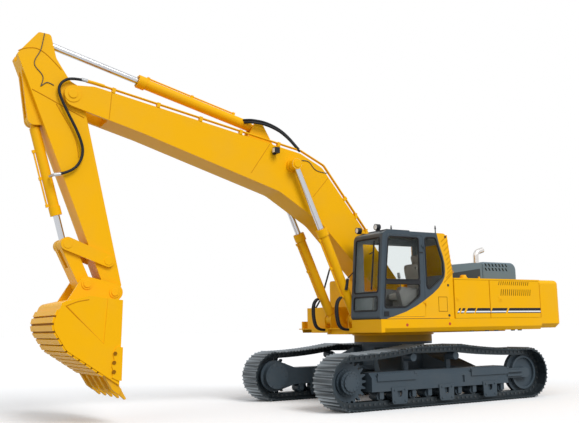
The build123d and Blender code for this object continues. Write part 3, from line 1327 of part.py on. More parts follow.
PORT_FACE = BOOM_BARREL_RADIUS + PORT_HEIGHT
FOOT_HOSE = [
    port_point(PORT_FACE),
    port_point(PORT_FACE + 120),
    (1680.0, 1640.0),
    (1590.0, 1420.0),
    (CAB_FRONT_LOW - 20, 1420.0),
]
FOOT_HOSE_BEND = 80.0
with BuildPart() as foot_hoses:
    for side in (-1, 1):
        for spread in (-19, 19):
            tube(FOOT_HOSE, FOOT_HOSE_BEND, HOSE_RADIUS, side * BOOM_CYLINDER_Y + spread)
save(foot_hoses, "foot_hoses")
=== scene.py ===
import math

import bmesh
import bpy
from mathutils import Matrix, Vector


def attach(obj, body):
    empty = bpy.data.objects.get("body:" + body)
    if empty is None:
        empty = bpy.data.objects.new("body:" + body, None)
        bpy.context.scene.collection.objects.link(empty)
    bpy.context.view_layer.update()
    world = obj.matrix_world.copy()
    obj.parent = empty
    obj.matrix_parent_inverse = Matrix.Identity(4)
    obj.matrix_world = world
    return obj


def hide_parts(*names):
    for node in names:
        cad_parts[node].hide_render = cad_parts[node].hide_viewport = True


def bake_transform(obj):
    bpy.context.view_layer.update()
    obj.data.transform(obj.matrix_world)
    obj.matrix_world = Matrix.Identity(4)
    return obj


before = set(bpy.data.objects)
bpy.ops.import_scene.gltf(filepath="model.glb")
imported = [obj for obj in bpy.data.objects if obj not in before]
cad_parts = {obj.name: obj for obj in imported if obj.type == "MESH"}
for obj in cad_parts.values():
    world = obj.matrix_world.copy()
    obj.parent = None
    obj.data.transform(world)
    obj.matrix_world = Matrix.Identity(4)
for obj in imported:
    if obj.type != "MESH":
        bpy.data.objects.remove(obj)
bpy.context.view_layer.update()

# Metres, as in the frame. Points of a side view are (x, z) with x counted from the swing axis.
SWING_X = -2.01
BOTH_SIDES = (-1, 1)

# Machine sizes that the trim is placed by
HOUSE_SIDE = 1.49
HOUSE_TOP = 2.39
HOOD_SIDE = 0.95
CAB_SIDE = 1.47
CAB_INSIDE = 0.56
CAB_REAR = -0.26
CAB_FRONT_LOW = 1.445
CAB_FRONT_TOP = 1.31
CAB_ROOF = 3.26
CAB_DOOR_REAR = 0.34
CAB_PILLAR = 0.055
SILL = 1.6
TRACK_Y = 1.37
AXLE_X = 2.175
AXLE_Z = 0.5
BOOM_SIDE = 0.29
ARM_SIDE = 0.215
BUCKET_SIDE = 0.75
BOOM_CYLINDER_Y = 0.42

# Pins of the front, in the side view
BOOM_BARREL_FOOT = (1.22, 1.62)
BOOM_ROD_EYE = (2.55, 4.59)
ARM_PIN = (6.82, 5.42)
ARM_BARREL_FOOT = (3.19, 5.31)
ARM_ROD_EYE = (7.29, 6.34)
BUCKET_PIN = (6.055, 2.105)
BUCKET_LINK_PIN = (6.52, 2.24)
SIDE_LINK_PIN = (6.145, 2.63)
BUCKET_ROD_EYE = (6.83, 2.895)

# Linear colours
YELLOW = (0.89, 0.45, 0.002)
TOOTH_YELLOW = (0.8, 0.4, 0.006)
# Darker yellow for ribs, welds and seams, standing in as their painted shade
RIB_SHADE_YELLOW = (0.6, 0.26, 0.002)
# Yellow darkened as painted shade, for the slew ring under the deck
RING_SHADE_YELLOW = (0.5, 0.27, 0.012)
# Dark brown painted shade for grooves, gaps and seams; the cutter bolts use it too
GROOVE_SHADE_BROWN = (0.28, 0.11, 0.003)
# Painted shade seen through the louvres' slots
LOUVRE_SHADE_BROWN = (0.07, 0.035, 0.004)
LINE_BROWN = (0.07, 0.055, 0.03)
SLATE = (0.05, 0.07, 0.088)
HOOD_GREY = (0.125, 0.178, 0.212)
# Painted shade of the recess under the hood's lip
RECESS_SHADE_GREY = (0.04, 0.052, 0.06)
TRACK_GREY = (0.06, 0.07, 0.078)
SHOE_GREY = (0.034, 0.045, 0.053)
# Light steel on sharp edges: partly steel rubbed bare, partly a painted highlight
RUBBED_GLINT_STEEL = (0.3, 0.34, 0.37)
BARE_STEEL = (0.42, 0.43, 0.44)
CHROME_GREY = (0.56, 0.57, 0.59)
EXHAUST_GREY = (0.66, 0.64, 0.62)
IRON_GREY = (0.06, 0.064, 0.07)
CAB_LINING = (0.2, 0.22, 0.225)
CONSOLE_GREY = (0.14, 0.135, 0.125)
SEAT_CLOTH = (0.27, 0.25, 0.22)
RUBBER_BLACK = (0.012, 0.013, 0.015)
TRIM_BLACK = (0.016, 0.018, 0.021)
STRIPE_BLACK = (0.014, 0.015, 0.02)
WHITE = (0.82, 0.83, 0.84)
LENS_WHITE = (0.75, 0.76, 0.74)
RED = (0.5, 0.045, 0.012)
GLASS_TINT = (0.88, 0.91, 0.91)
DUST = (0.22, 0.2, 0.17)
SKY = (0.95, 0.97, 1.0)


# Places

def spot(x, y, z):
    """A point given from the swing axis, in the frame."""
    return Vector((x + SWING_X, y, z))


def screen_x(z):
    """x of the cab's front face at height z."""
    return CAB_FRONT_LOW + (CAB_FRONT_TOP - CAB_FRONT_LOW) * (z - SILL) / (CAB_ROOF - SILL)


def cab_z(share):
    """Height at a share of the way from the cab's sill to its roof."""
    return SILL + share * (CAB_ROOF - SILL)


# Nodes

COLOUR = "NodeSocketColor"
NUMBER = "NodeSocketFloat"
COUNT = "NodeSocketInt"
GEOMETRY = "NodeSocketGeometry"


def opaque(colour):
    return (*colour, 1)


def set_inputs(tree, node, inputs):
    """Give inputs of a node values or other nodes' outputs."""
    for key, value in dict(inputs).items():
        if isinstance(value, bpy.types.NodeSocket):
            tree.links.new(value, node.inputs[key])
        else:
            node.inputs[key].default_value = value


def add_node(tree, kind, inputs=(), **settings):
    """Node with its settings and inputs."""
    node = tree.nodes.new(kind)
    for name, value in settings.items():
        setattr(node, name, value)
    set_inputs(tree, node, inputs)
    return node


def calculate(tree, operation, *values, clamp=False):
    """Result of a Math node."""
    node = add_node(tree, "ShaderNodeMath", enumerate(values), operation=operation, use_clamp=clamp)
    return node.outputs["Value"]


def stretch(tree, value, low, high):
    """0 to 1 as a value goes from low to high."""
    inputs = {"Value": value, "From Min": low, "From Max": high}
    return add_node(tree, "ShaderNodeMapRange", inputs).outputs["Result"]


def mix_colours(tree, factor, first, second):
    """Colour between two."""
    inputs = {"Factor": factor, "A": first, "B": second}
    return add_node(tree, "ShaderNodeMix", inputs, data_type="RGBA").outputs["Result"]


def new_group(name, kind, inputs, outputs):
    """Node group with named sockets; returns it, what enters it and its output node."""
    tree = bpy.data.node_groups.new(name, kind)
    for socket_name, socket_kind, *value in inputs:
        socket = tree.interface.new_socket(socket_name, in_out="INPUT", socket_type=socket_kind)
        if value:
            socket.default_value = value[0]
    for socket_name, socket_kind in outputs:
        tree.interface.new_socket(socket_name, in_out="OUTPUT", socket_type=socket_kind)
    return tree, tree.nodes.new("NodeGroupInput").outputs, tree.nodes.new("NodeGroupOutput")


# Materials

# Noise levels between which dust sets in
DUST_FROM = 0.42
DUST_TO = 0.75
DUST_DETAIL = 6
PATCH_SCALE = 2.0

# Sharpness of an edge at which a finish starts to be rubbed bare and lightened as a painted highlight,
# and at which it is fully so
RUB_GLINT_FROM = 0.592
RUB_GLINT_TO = 0.628

# Edge between the cab's dark front and its yellow rear and foot: height and the x it stands at
PAINT_EDGE = (
    (1.56, 1.484), (1.589, 1.366), (1.655, 1.093), (1.737, 0.814),
    (1.838, 0.569), (1.947, 0.359), (2.075, 0.145), (2.188, -0.009),
    (2.302, -0.111), (2.408, -0.175), (2.514, -0.194), (2.66, -0.19),
    (2.821, -0.153), (3.014, -0.08), (3.175, -0.036), (3.313, -0.002),
)
EDGE_LEFT = -0.4
EDGE_SPAN = 2.0
LINING_DEPTH = 0.03


def make_weather_group():
    """Uneven gloss and a thin film of dust in patches."""
    tree, enter, leave = new_group(
        "weather",
        "ShaderNodeTree",
        (
            ("Paint", COLOUR),
            ("Dust", COLOUR, opaque(DUST)),
            ("Dust Amount", NUMBER),
            ("Roughness", NUMBER),
            ("Patch Scale", NUMBER),
        ),
        (("Color", COLOUR), ("Roughness", NUMBER)),
    )
    place = add_node(tree, "ShaderNodeTexCoord").outputs["Object"]
    noise_inputs = {"Vector": place, "Scale": enter["Patch Scale"], "Detail": DUST_DETAIL}
    noise = add_node(tree, "ShaderNodeTexNoise", noise_inputs)
    patches = stretch(tree, noise.outputs["Fac"], DUST_FROM, DUST_TO)
    amount = calculate(tree, "MULTIPLY", patches, enter["Dust Amount"])
    gloss = calculate(tree, "ADD", amount, enter["Roughness"], clamp=True)
    film = mix_colours(tree, amount, enter["Paint"], enter["Dust"])
    set_inputs(tree, leave, {"Color": film, "Roughness": gloss})
    return tree


WEATHER = make_weather_group()


def weathered(tree, paint, roughness, dust, patch_scale=PATCH_SCALE):
    """Colour and roughness of a paint with the weather group on it."""
    inputs = {"Paint": paint, "Roughness": roughness, "Dust Amount": dust, "Patch Scale": patch_scale}
    outputs = add_node(tree, "ShaderNodeGroup", inputs, node_tree=WEATHER).outputs
    return outputs["Color"], outputs["Roughness"]


def new_material(name):
    """Material with one Principled shader; returns it, its node tree and the shader."""
    material = bpy.data.materials.new(name)
    material.use_nodes = True
    tree = material.node_tree
    return material, tree, tree.nodes["Principled BSDF"]


def finish_coat(
    name, paint, roughness, dust=0.1, patch_scale=PATCH_SCALE, metallic=0.0, shine=0.15, bare_glint=None
):
    """Weathered finish; where a bare colour is given, its sharp edges are rubbed bare and lightened as
    a painted highlight.
    """
    material, tree, shader = new_material(name)
    coat, gloss = weathered(tree, opaque(paint), roughness, dust, patch_scale)
    if bare_glint:
        sharpness = add_node(tree, "ShaderNodeNewGeometry").outputs["Pointiness"]
        coat = mix_colours(tree, stretch(tree, sharpness, RUB_GLINT_FROM, RUB_GLINT_TO), coat, opaque(bare_glint))
    set_inputs(tree, shader, {
        "Base Color": coat, "Roughness": gloss, "Metallic": metallic, "Specular IOR Level": shine,
    })
    return material


def plain(name, colour, roughness, metallic=0.0, shine=0.5):
    """Finish with one colour and one gloss all over."""
    material, tree, shader = new_material(name)
    set_inputs(tree, shader, {
        "Base Color": opaque(colour),
        "Roughness": roughness,
        "Metallic": metallic,
        "Specular IOR Level": shine,
    })
    return material


def make_glass():
    material, tree, shader = new_material("tinted_glass")
    set_inputs(tree, shader, {
        "Base Color": opaque(GLASS_TINT), "Roughness": 0.02, "IOR": 1.1, "Transmission Weight": 1.0,
    })
    return material


def edge_x(z):
    """x of the cab's paint edge at height z."""
    for (z_a, x_a), (z_b, x_b) in zip(PAINT_EDGE, PAINT_EDGE[1:]):
        if z <= z_b:
            return x_a + (x_b - x_a) * (z - z_a) / (z_b - z_a)
    return PAINT_EDGE[-1][1]


def behind_edge(tree, axes):
    """1 behind the cab's paint edge, 0 before it."""
    low, high = PAINT_EDGE[0][0], PAINT_EDGE[-1][0]
    ramp = add_node(tree, "ShaderNodeValToRGB", {"Fac": stretch(tree, axes["Z"], low, high)})
    stops = ramp.color_ramp.elements
    shares = [(z - low) / (high - low) for z, _ in PAINT_EDGE]
    for share in shares[1:-1]:
        stops.new(share)
    for stop, share, (_, x) in zip(stops, shares, PAINT_EDGE):
        level = (x - EDGE_LEFT) / EDGE_SPAN
        stop.position = share
        stop.color = (level, level, level, 1)
    across = stretch(tree, axes["X"], SWING_X + EDGE_LEFT, SWING_X + EDGE_LEFT + EDGE_SPAN)
    return calculate(tree, "LESS_THAN", across, ramp.outputs["Color"])


def inside_cab(tree, axes):
    """1 deeper in the cab than the outer skin, 0 on the skin."""
    slope = (CAB_FRONT_TOP - CAB_FRONT_LOW) / (CAB_ROOF - SILL)
    front_foot = SWING_X + CAB_FRONT_LOW - slope * SILL
    front = calculate(tree, "MULTIPLY_ADD", axes["Z"], slope, front_foot)
    depth = calculate(tree, "SUBTRACT", front, axes["X"])
    for axis, wall, sign in (
        ("X", SWING_X + CAB_REAR, 1),
        ("Y", CAB_INSIDE, 1),
        ("Y", CAB_SIDE, -1),
        ("Z", SILL, 1),
        ("Z", CAB_ROOF, -1),
    ):
        from_wall = calculate(tree, "MULTIPLY_ADD", axes[axis], sign, -sign * wall)
        depth = calculate(tree, "MINIMUM", depth, from_wall)
    return calculate(tree, "GREATER_THAN", depth, LINING_DEPTH)


def make_cab_paint():
    """Outside yellow behind the paint edge and slate before it, inside a grey lining."""
    material, tree, shader = new_material("cab_paint")
    place = add_node(tree, "ShaderNodeTexCoord").outputs["Object"]
    axes = add_node(tree, "ShaderNodeSeparateXYZ", {"Vector": place}).outputs
    outside = mix_colours(tree, behind_edge(tree, axes), opaque(SLATE), opaque(YELLOW))
    paint = mix_colours(tree, inside_cab(tree, axes), outside, opaque(CAB_LINING))
    coat, gloss = weathered(tree, paint, 0.36, 0.06)
    set_inputs(tree, shader, {"Base Color": coat, "Roughness": gloss, "Specular IOR Level": 0.2})
    return material


yellow_paint = finish_coat("yellow_paint", YELLOW, 0.4, dust=0.05, shine=0.1)
slate_paint = finish_coat("slate_paint", SLATE, 0.42, dust=0.08, shine=0.2)
hood_paint = finish_coat("hood_paint", HOOD_GREY, 0.4, dust=0.06, shine=0.2)
track_steel = finish_coat(
    "track_steel", TRACK_GREY, 0.34, dust=0.12, patch_scale=5.0, metallic=0.7, shine=0.4
)
# The shoes' sharp edges turn light steel: partly rubbed bare, partly a painted highlight of glints on
# the grousers
shoe_steel = finish_coat(
    "shoe_steel", SHOE_GREY, 0.34, dust=0.06, patch_scale=5.0, metallic=0.7, shine=0.4,
    bare_glint=RUBBED_GLINT_STEEL,
)
tooth_paint = finish_coat("tooth_paint", TOOTH_YELLOW, 0.5, dust=0.25, patch_scale=8.0, shine=0.1)
cast_iron = finish_coat("cast_iron", IRON_GREY, 0.6)
hood_recess_painted_shade = finish_coat("hood_recess_painted_shade", RECESS_SHADE_GREY, 0.45, dust=0.06)
# Slew ring: yellow darkened as painted shade from the deck above, with patches of dust
ring_shade_paint = finish_coat("ring_shade_paint", RING_SHADE_YELLOW, 0.5, dust=0.3, shine=0.1)
seat_cloth = finish_coat("seat_cloth", SEAT_CLOTH, 0.85, patch_scale=30.0)
cab_paint = make_cab_paint()
glass = make_glass()
chrome = plain("chrome", CHROME_GREY, 0.2, metallic=1.0)
exhaust_steel = plain("exhaust_steel", EXHAUST_GREY, 0.3, metallic=1.0)
bolt_steel = plain("bolt_steel", BARE_STEEL, 0.38, metallic=0.9)
groove_shade = plain("groove_shade", GROOVE_SHADE_BROWN, 0.7, shine=0.1)
rib_shade = plain("rib_shade", RIB_SHADE_YELLOW, 0.5, shine=0.1)
louvre_shade_dark = plain("louvre_shade_dark", LOUVRE_SHADE_BROWN, 0.7, shine=0.1)
line_brown = plain("line_brown", LINE_BROWN, 0.5)
rubber = plain("rubber", RUBBER_BLACK, 0.5, shine=0.2)
trim_black = plain("trim_black", TRIM_BLACK, 0.4, shine=0.2)
stripe_black = plain("stripe_black", STRIPE_BLACK, 0.35, shine=0.15)
stripe_white = plain("stripe_white", WHITE, 0.3)
reflector = plain("reflector", RED, 0.25)
lamp_lens = plain("lamp_lens", LENS_WHITE, 0.1)
console_plastic = plain("console_plastic", CONSOLE_GREY, 0.55)

# Finish of the frame's nodes, by slot and for some by name
SLOT_FINISH = {
    "yellow": yellow_paint,
    "slate": slate_paint,
    "hood_grey": hood_paint,
    "track_steel": shoe_steel,
    "chrome": chrome,
    "glass": glass,
    "black": trim_black,
    "seat": seat_cloth,
    "engine": cast_iron,
}
NODE_FINISH = {
    "slew_ring": ring_shade_paint,
    "bucket_teeth": tooth_paint,
    "exhaust": exhaust_steel,
    "cab_frame": cab_paint,
    "cab_door": cab_paint,
}
for node_name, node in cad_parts.items():
    skin = node.material_slots[0]
    skin.material = NODE_FINISH.get(node_name) or SLOT_FINISH[skin.material.name]


# Mesh tools

class Shells:
    """Closed shells gathered into one mesh, placed from the swing axis."""

    def __init__(self):
        self.mesh = bmesh.new()

    def add(self, points, faces):
        made = [self.mesh.verts.new(point) for point in points]
        for face in faces:
            self.mesh.faces.new([made[index] for index in face])

    def plate(self, outline, y_a, y_b):
        """Side-view outline made a plate between two y values."""
        count = len(outline)
        points = [spot(x, y, z) for y in (y_a, y_b) for x, z in outline]
        faces = [tuple(range(count)), tuple(range(2 * count - 1, count - 1, -1))]
        for index in range(count):
            after = (index + 1) % count
            faces.append((index, index + count, after + count, after))
        self.add(points, faces)

    def block(self, low, high):
        """Box between two corners."""
        (x_a, y_a, z_a), (x_b, y_b, z_b) = low, high
        self.plate([(x_a, z_a), (x_b, z_a), (x_b, z_b), (x_a, z_b)], y_a, y_b)

    def round_bar(self, start, end, radius, sides=16, end_radius=None):
        """Round bar between two points."""
        start, end = spot(*start), spot(*end)
        turn = (end - start).to_track_quat("Z", "Y").to_matrix()
        radii = (radius, radius if end_radius is None else end_radius)
        points = []
        for centre, ring in zip((start, end), radii):
            for index in range(sides):
                angle = 2 * math.pi * index / sides
                out = Vector((ring * math.cos(angle), ring * math.sin(angle), 0))
                points.append(centre + turn @ out)
        faces = [tuple(range(sides - 1, -1, -1)), tuple(range(sides, 2 * sides))]
        for index in range(sides):
            after = (index + 1) % sides
            faces.append((index, after, after + sides, index + sides))
        self.add(points, faces)

    def cross_bar(self, place, y_a, y_b, radius, sides):
        """Round bar across the machine at a side-view place."""
        x, z = place
        self.round_bar((x, y_a, z), (x, y_b, z), radius, sides)

    def piece(self, name, finish, body, slot_name, bevel=0.0):
        """Finished object that rides on a body."""
        bmesh.ops.recalc_face_normals(self.mesh, faces=self.mesh.faces)
        data = bpy.data.meshes.new(name)
        self.mesh.to_mesh(data)
        self.mesh.free()
        return dress(name, data, finish, body, bevel)


def dress(name, data, finish, body, bevel=0.0):
    """Object from a mesh, with its finish and the body it rides on, if any."""
    piece = bpy.data.objects.new(name, data)
    bpy.context.scene.collection.objects.link(piece)
    data.materials.clear()
    data.materials.append(finish)
    if bevel:
        soften = piece.modifiers.new("soften", "BEVEL")
        soften.width = bevel
        soften.segments = 2
        soften.limit_method = "ANGLE"
    if body:
        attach(piece, body)
    return piece


def dress_joined(name, meshes, finish, body):
    """One piece from several meshes."""
    joined = bmesh.new()
    for mesh in meshes:
        joined.from_mesh(mesh)
        bpy.data.meshes.remove(mesh)
    data = bpy.data.meshes.new(name)
    joined.to_mesh(data)
    joined.free()
    dress(name, data, finish, body)


def block_piece(name, finish, body, slot_name, blocks, bevel=0.0):
    """Piece made of boxes, each given by two corners."""
    shells = Shells()
    for low, high in blocks:
        shells.block(low, high)
    shells.piece(name, finish, body, slot_name, bevel)


def bar_piece(name, finish, body, slot_name, bars, bar_sides, bevel=0.0, sides=(1,)):
    """Piece made of bars across the machine, each given by its place, y of both ends and radius."""
    shells = Shells()
    for side in sides:
        for place, near, far, radius in bars:
            shells.cross_bar(place, side * near, side * far, radius, bar_sides)
    shells.piece(name, finish, body, slot_name, bevel)


def new_line(name, kind, count):
    """Curve with one spline; returns the curve, the spline and its points."""
    line = bpy.data.curves.new(name, "CURVE")
    line.dimensions = "3D"
    spline = line.splines.new(kind)
    points = spline.bezier_points if kind == "BEZIER" else spline.points
    points.add(count - 1)
    return line, spline, points


def mesh_of(data, tree=None, values=()):
    """Mesh of a curve, or what a node tree makes of some data with these input values."""
    carrier = bpy.data.objects.new("carrier", data)
    bpy.context.scene.collection.objects.link(carrier)
    if tree:
        modifier = carrier.modifiers.new("grow", "NODES")
        modifier.node_group = tree
        for item in tree.interface.items_tree:
            if item.in_out == "INPUT" and item.name in values:
                modifier[item.identifier] = values[item.name]
    state = bpy.context.evaluated_depsgraph_get()
    mesh = bpy.data.meshes.new_from_object(carrier.evaluated_get(state))
    bpy.data.objects.remove(carrier)
    return mesh


def hose(name, route, radius):
    """Round hose on a smooth spline whose control points are the route; returns it and its line."""
    line, spline, points = new_line(name, "NURBS", len(route))
    line.resolution_u = 16
    for point, place in zip(points, route):
        point.co = (*place, 1)
    spline.order_u = 3
    spline.use_endpoint_u = True
    path = [vert.co.copy() for vert in mesh_of(line).vertices]
    line.bevel_depth = radius
    line.bevel_resolution = 3
    line.use_fill_caps = True
    data = mesh_of(line)
    for face in data.polygons:
        face.use_smooth = True
    return data, path


# Geometry node trees

def new_scatter(name, numbers):
    """Geometry tree that takes a count and these numbers."""
    inputs = [("Geometry", GEOMETRY), ("Count", COUNT), *((number, NUMBER) for number in numbers)]
    return new_group(name, "GeometryNodeTree", inputs, [("Geometry", GEOMETRY)])


def end_scatter(tree, leave, inputs):
    """Put an instance on each point and make the instances real."""
    spread = add_node(tree, "GeometryNodeInstanceOnPoints", inputs)
    instances = {"Geometry": spread.outputs["Instances"]}
    real = add_node(tree, "GeometryNodeRealizeInstances", instances)
    set_inputs(tree, leave, {"Geometry": real.outputs["Geometry"]})
    return tree


def cylinder_mesh(tree, sides, radius, depth):
    inputs = {"Vertices": sides, "Radius": radius, "Depth": depth}
    return add_node(tree, "GeometryNodeMeshCylinder", inputs).outputs["Mesh"]


def make_bolt_ring_tree():
    """Six-sided bolt heads on a circle round Z."""
    tree, enter, leave = new_scatter("bolt_ring", ("Ring Radius", "Bolt Radius", "Bolt Height"))
    circle = {"Vertices": enter["Count"], "Radius": enter["Ring Radius"]}
    ring = add_node(tree, "GeometryNodeMeshCircle", circle).outputs["Mesh"]
    head = cylinder_mesh(tree, 6, enter["Bolt Radius"], enter["Bolt Height"])
    return end_scatter(tree, leave, {"Points": ring, "Instance": head})


def make_track_pin_tree():
    """Round pin ends, lying across the machine, along the object's own curve."""
    tree, enter, leave = new_scatter("track_pins", ("Pin Radius", "Pin Length"))
    line = {"Curve": enter["Geometry"], "Count": enter["Count"]}
    places = add_node(tree, "GeometryNodeResampleCurve", line).outputs["Curve"]
    pin = cylinder_mesh(tree, 10, enter["Pin Radius"], enter["Pin Length"])
    across = (math.pi / 2, 0, 0)
    return end_scatter(tree, leave, {"Points": places, "Instance": pin, "Rotation": across})


BOLT_RING = make_bolt_ring_tree()
TRACK_PINS = make_track_pin_tree()


def bolt_ring(place, axis, count, ring_radius, bolt_radius, bolt_height):
    """Mesh of a ring of bolt heads round an axis through a place."""
    values = {
        "Count": count,
        "Ring Radius": ring_radius,
        "Bolt Radius": bolt_radius,
        "Bolt Height": bolt_height,
    }
    mesh = mesh_of(bpy.data.meshes.new("ring"), BOLT_RING, values)
    turn = Vector(axis).to_track_quat("Z", "Y").to_matrix().to_4x4()
    mesh.transform(Matrix.Translation(spot(*place)) @ turn)
    return mesh


# Undercarriage trim

# Bolt rings on the axles: x, y off the track's middle, facing out or in, then count, radius of the
# ring, radius and height of a bolt
AXLE_RINGS = (
    (AXLE_X, 0.165, 1, 18, 0.178, 0.013, 0.02),
    (AXLE_X, 0.2, 1, 10, 0.125, 0.012, 0.016),
    (AXLE_X, 0.075, 1, 24, 0.222, 0.012, 0.024),
    (AXLE_X, -0.31, -1, 12, 0.215, 0.016, 0.02),
    (-AXLE_X, 0.13, 1, 8, 0.075, 0.012, 0.016),
)
SLEW_BOLTS_Z = 1.135
SLEW_BOLTS = (48, 0.735, 0.018, 0.03)

# Track pins: on the middle line of the links, which runs over the carrier rollers at the top
LINK_INNER_RADIUS = 0.353
LINK_HEIGHT = 0.105
PIN_LINE_RADIUS = LINK_INNER_RADIUS + LINK_HEIGHT / 2
UPPER_RUN = ((1.435, 0.945), (0.695, 1.022), (0.168, 1.015), (-0.358, 1.022), (-1.27, 0.93))
TURN_STEPS = 12
PIN_RAIL_Y = 0.078
PIN_SIZES = {"Count": 102, "Pin Radius": 0.024, "Pin Length": 0.075}

# Fittings on the outer face of the track frames
FRAME_FACE = TRACK_Y + 0.19
CLIP_X = (1.6, 0.75, -0.66, -1.62)
CLIP_Z = (0.6, 0.64)
CLIP_DEPTH = 0.035
YOKE_X = (-2.05, -1.62)
YOKE_RAIL_Z = (0.46, 0.54)
YOKE_SINK = 0.012
YOKE_RISE = 0.022
HALF_RAIL = 0.02
GUARD_X = (1.125, 0.0, -1.125)
GUARD_FACE = 0.022
GUARD_BOLT_X = (-0.12, 0.12)
GUARD_BOLT_Z = (0.33, 0.13)
GUARD_BOLT_RADIUS = 0.018
GUARD_BOLT_HEIGHT = 0.014


def half_turn(axle_x, first_angle):
    """Pin line round one axle, in the side view."""
    angles = [math.radians(first_angle + 180 * step / TURN_STEPS) for step in range(TURN_STEPS + 1)]
    return [
        (axle_x + PIN_LINE_RADIUS * math.cos(angle), AXLE_Z + PIN_LINE_RADIUS * math.sin(angle))
        for angle in angles
    ]


def dress_undercarriage():
    rings = [
        bolt_ring((x, side * (TRACK_Y + offset), AXLE_Z), (0, side * facing, 0), *sizes)
        for side in BOTH_SIDES
        for x, offset, facing, *sizes in AXLE_RINGS
    ]
    dress_joined("hub_bolts", rings, slate_paint, "undercarriage")
    slew_bolts = bolt_ring((0, 0, SLEW_BOLTS_Z), (0, 0, 1), *SLEW_BOLTS)
    dress("slew_bolts", slew_bolts, slate_paint, "undercarriage")

    pin_line = [*half_turn(AXLE_X, -90), *UPPER_RUN, *half_turn(-AXLE_X, 90)]
    pins = []
    for side in BOTH_SIDES:
        for rail in BOTH_SIDES:
            rail_y = side * TRACK_Y + rail * PIN_RAIL_Y
            line, spline, points = new_line("pin_line", "POLY", len(pin_line))
            spline.use_cyclic_u = True
            for point, (x, z) in zip(points, pin_line):
                point.co = (*spot(x, rail_y, z), 1)
            pins.append(mesh_of(line, TRACK_PINS, PIN_SIZES))
    dress_joined("track_pins", pins, track_steel, "undercarriage")

    fittings = Shells()
    for side in BOTH_SIDES:
        face = side * FRAME_FACE
        for x in CLIP_X:
            fittings.block(
                (x - HALF_RAIL, face, CLIP_Z[0]), (x + HALF_RAIL, face + side * CLIP_DEPTH, CLIP_Z[1])
            )
        for z in YOKE_RAIL_Z:
            fittings.block(
                (YOKE_X[0], face - side * YOKE_SINK, z - HALF_RAIL),
                (YOKE_X[1], face + side * YOKE_RISE, z + HALF_RAIL),
            )
        bolt_foot = face + side * GUARD_FACE
        bolt_top = bolt_foot + side * GUARD_BOLT_HEIGHT
        for guard_x in GUARD_X:
            for step in GUARD_BOLT_X:
                for z in GUARD_BOLT_Z:
                    fittings.cross_bar((guard_x + step, z), bolt_foot, bolt_top, GUARD_BOLT_RADIUS, 6)
    fittings.piece("frame_fittings", slate_paint, "undercarriage", "slate", bevel=0.003)


# House trim

# Stripes lean forward at their foot. Each door has its front seam and its runs from front to rear,
# the last of which ends square.
STRIPE_LEAN = 0.062
STRIPE_TOP = 1.8
STRIPE_FOOT = 1.697
STRIPE_SINK = 0.002
STRIPE_RISE = 0.0012
STRIPE_BANDS = (
    ("black", 1.743, STRIPE_TOP, stripe_black),
    ("white", 1.714, 1.743, stripe_white),
    ("foot", STRIPE_FOOT, 1.714, stripe_black),
)
STRIPE_RUNS = {
    "side_door_front": (
        -0.397, ((-0.5, -0.545), (-0.59, -0.665), (-0.727, -0.946), (-0.982, -1.333)),
    ),
    "side_door_rear": (-1.351, ((-1.4, -1.82), (-1.875, -2.785))),
}

# Latches: plate and grip
REAR_LATCH = (
    ((-1.67, HOUSE_SIDE - 0.004, 1.935), (-1.58, HOUSE_SIDE + 0.006, 2.03)),
    ((-1.66, HOUSE_SIDE, 1.97), (-1.61, HOUSE_SIDE + 0.014, 1.995)),
)
FRONT_LATCH = (
    ((-0.5, HOUSE_SIDE - 0.004, 1.94), (-0.43, HOUSE_SIDE + 0.006, 2.02)),
    ((-0.49, HOUSE_SIDE, 1.965), (-0.45, HOUSE_SIDE + 0.013, 1.99)),
)

# Filler caps on the house's top: x, foot and top above it, radius at both, number of sides
FILLER_Y = 1.2
FILLER_CAPS = (
    (-0.917, -0.005, 0.03, 0.088, 0.088, 28),
    (-0.917, 0.03, 0.085, 0.075, 0.055, 28),
    (-1.353, -0.005, 0.06, 0.02, 0.02, 20),
)

# Louvres of the rear door, as in the part: front edge of the row, foot, top. Dark plates just behind
# their slots paint the shade seen through them.
LOUVRE_ROWS = ((-1.61, 2.262, 2.34), (-1.66, 2.05, 2.18))
LOUVRE_COUNT = 15
LOUVRE_PITCH = 0.06
LOUVRE_WIDTH = 0.02
LOUVRE_LEAN = 0.025
LOUVRE_SHADE_Y = (HOUSE_SIDE - 0.016, HOUSE_SIDE - 0.006)

# Painted shade of the recess under the fixed hood's lip, on its lower side
HOOD_RECESS = ((-0.8, 2.523), (-1.64, 2.64), (-1.64, 2.395), (-0.775, 2.395))
HOOD_RECESS_Y = (HOOD_SIDE - 0.002, HOOD_SIDE + 0.002)

REFLECTORS = [
    (place, HOUSE_SIDE - 0.003, HOUSE_SIDE + 0.004, 0.028) for place in ((-0.235, 1.5), (0.82, 1.49))
]
DECK_NUTS = [
    ((x - 0.03, 1.35, 1.338), (x + 0.03, 1.41, 1.43)) for x in (-0.9, -1.32, -1.58, -2.05, -2.25)
]
TOOLBOX_HANDLE = (((0.9, -1.02, 1.87), (1.04, -0.84, 1.888)),)


def stripe_end(x, z, seam):
    """Point of a stripe's leaning end at height z, held inside the door it is on."""
    leaned = x + STRIPE_LEAN * (STRIPE_TOP - z) / (STRIPE_TOP - STRIPE_FOOT)
    return min(leaned, seam), z


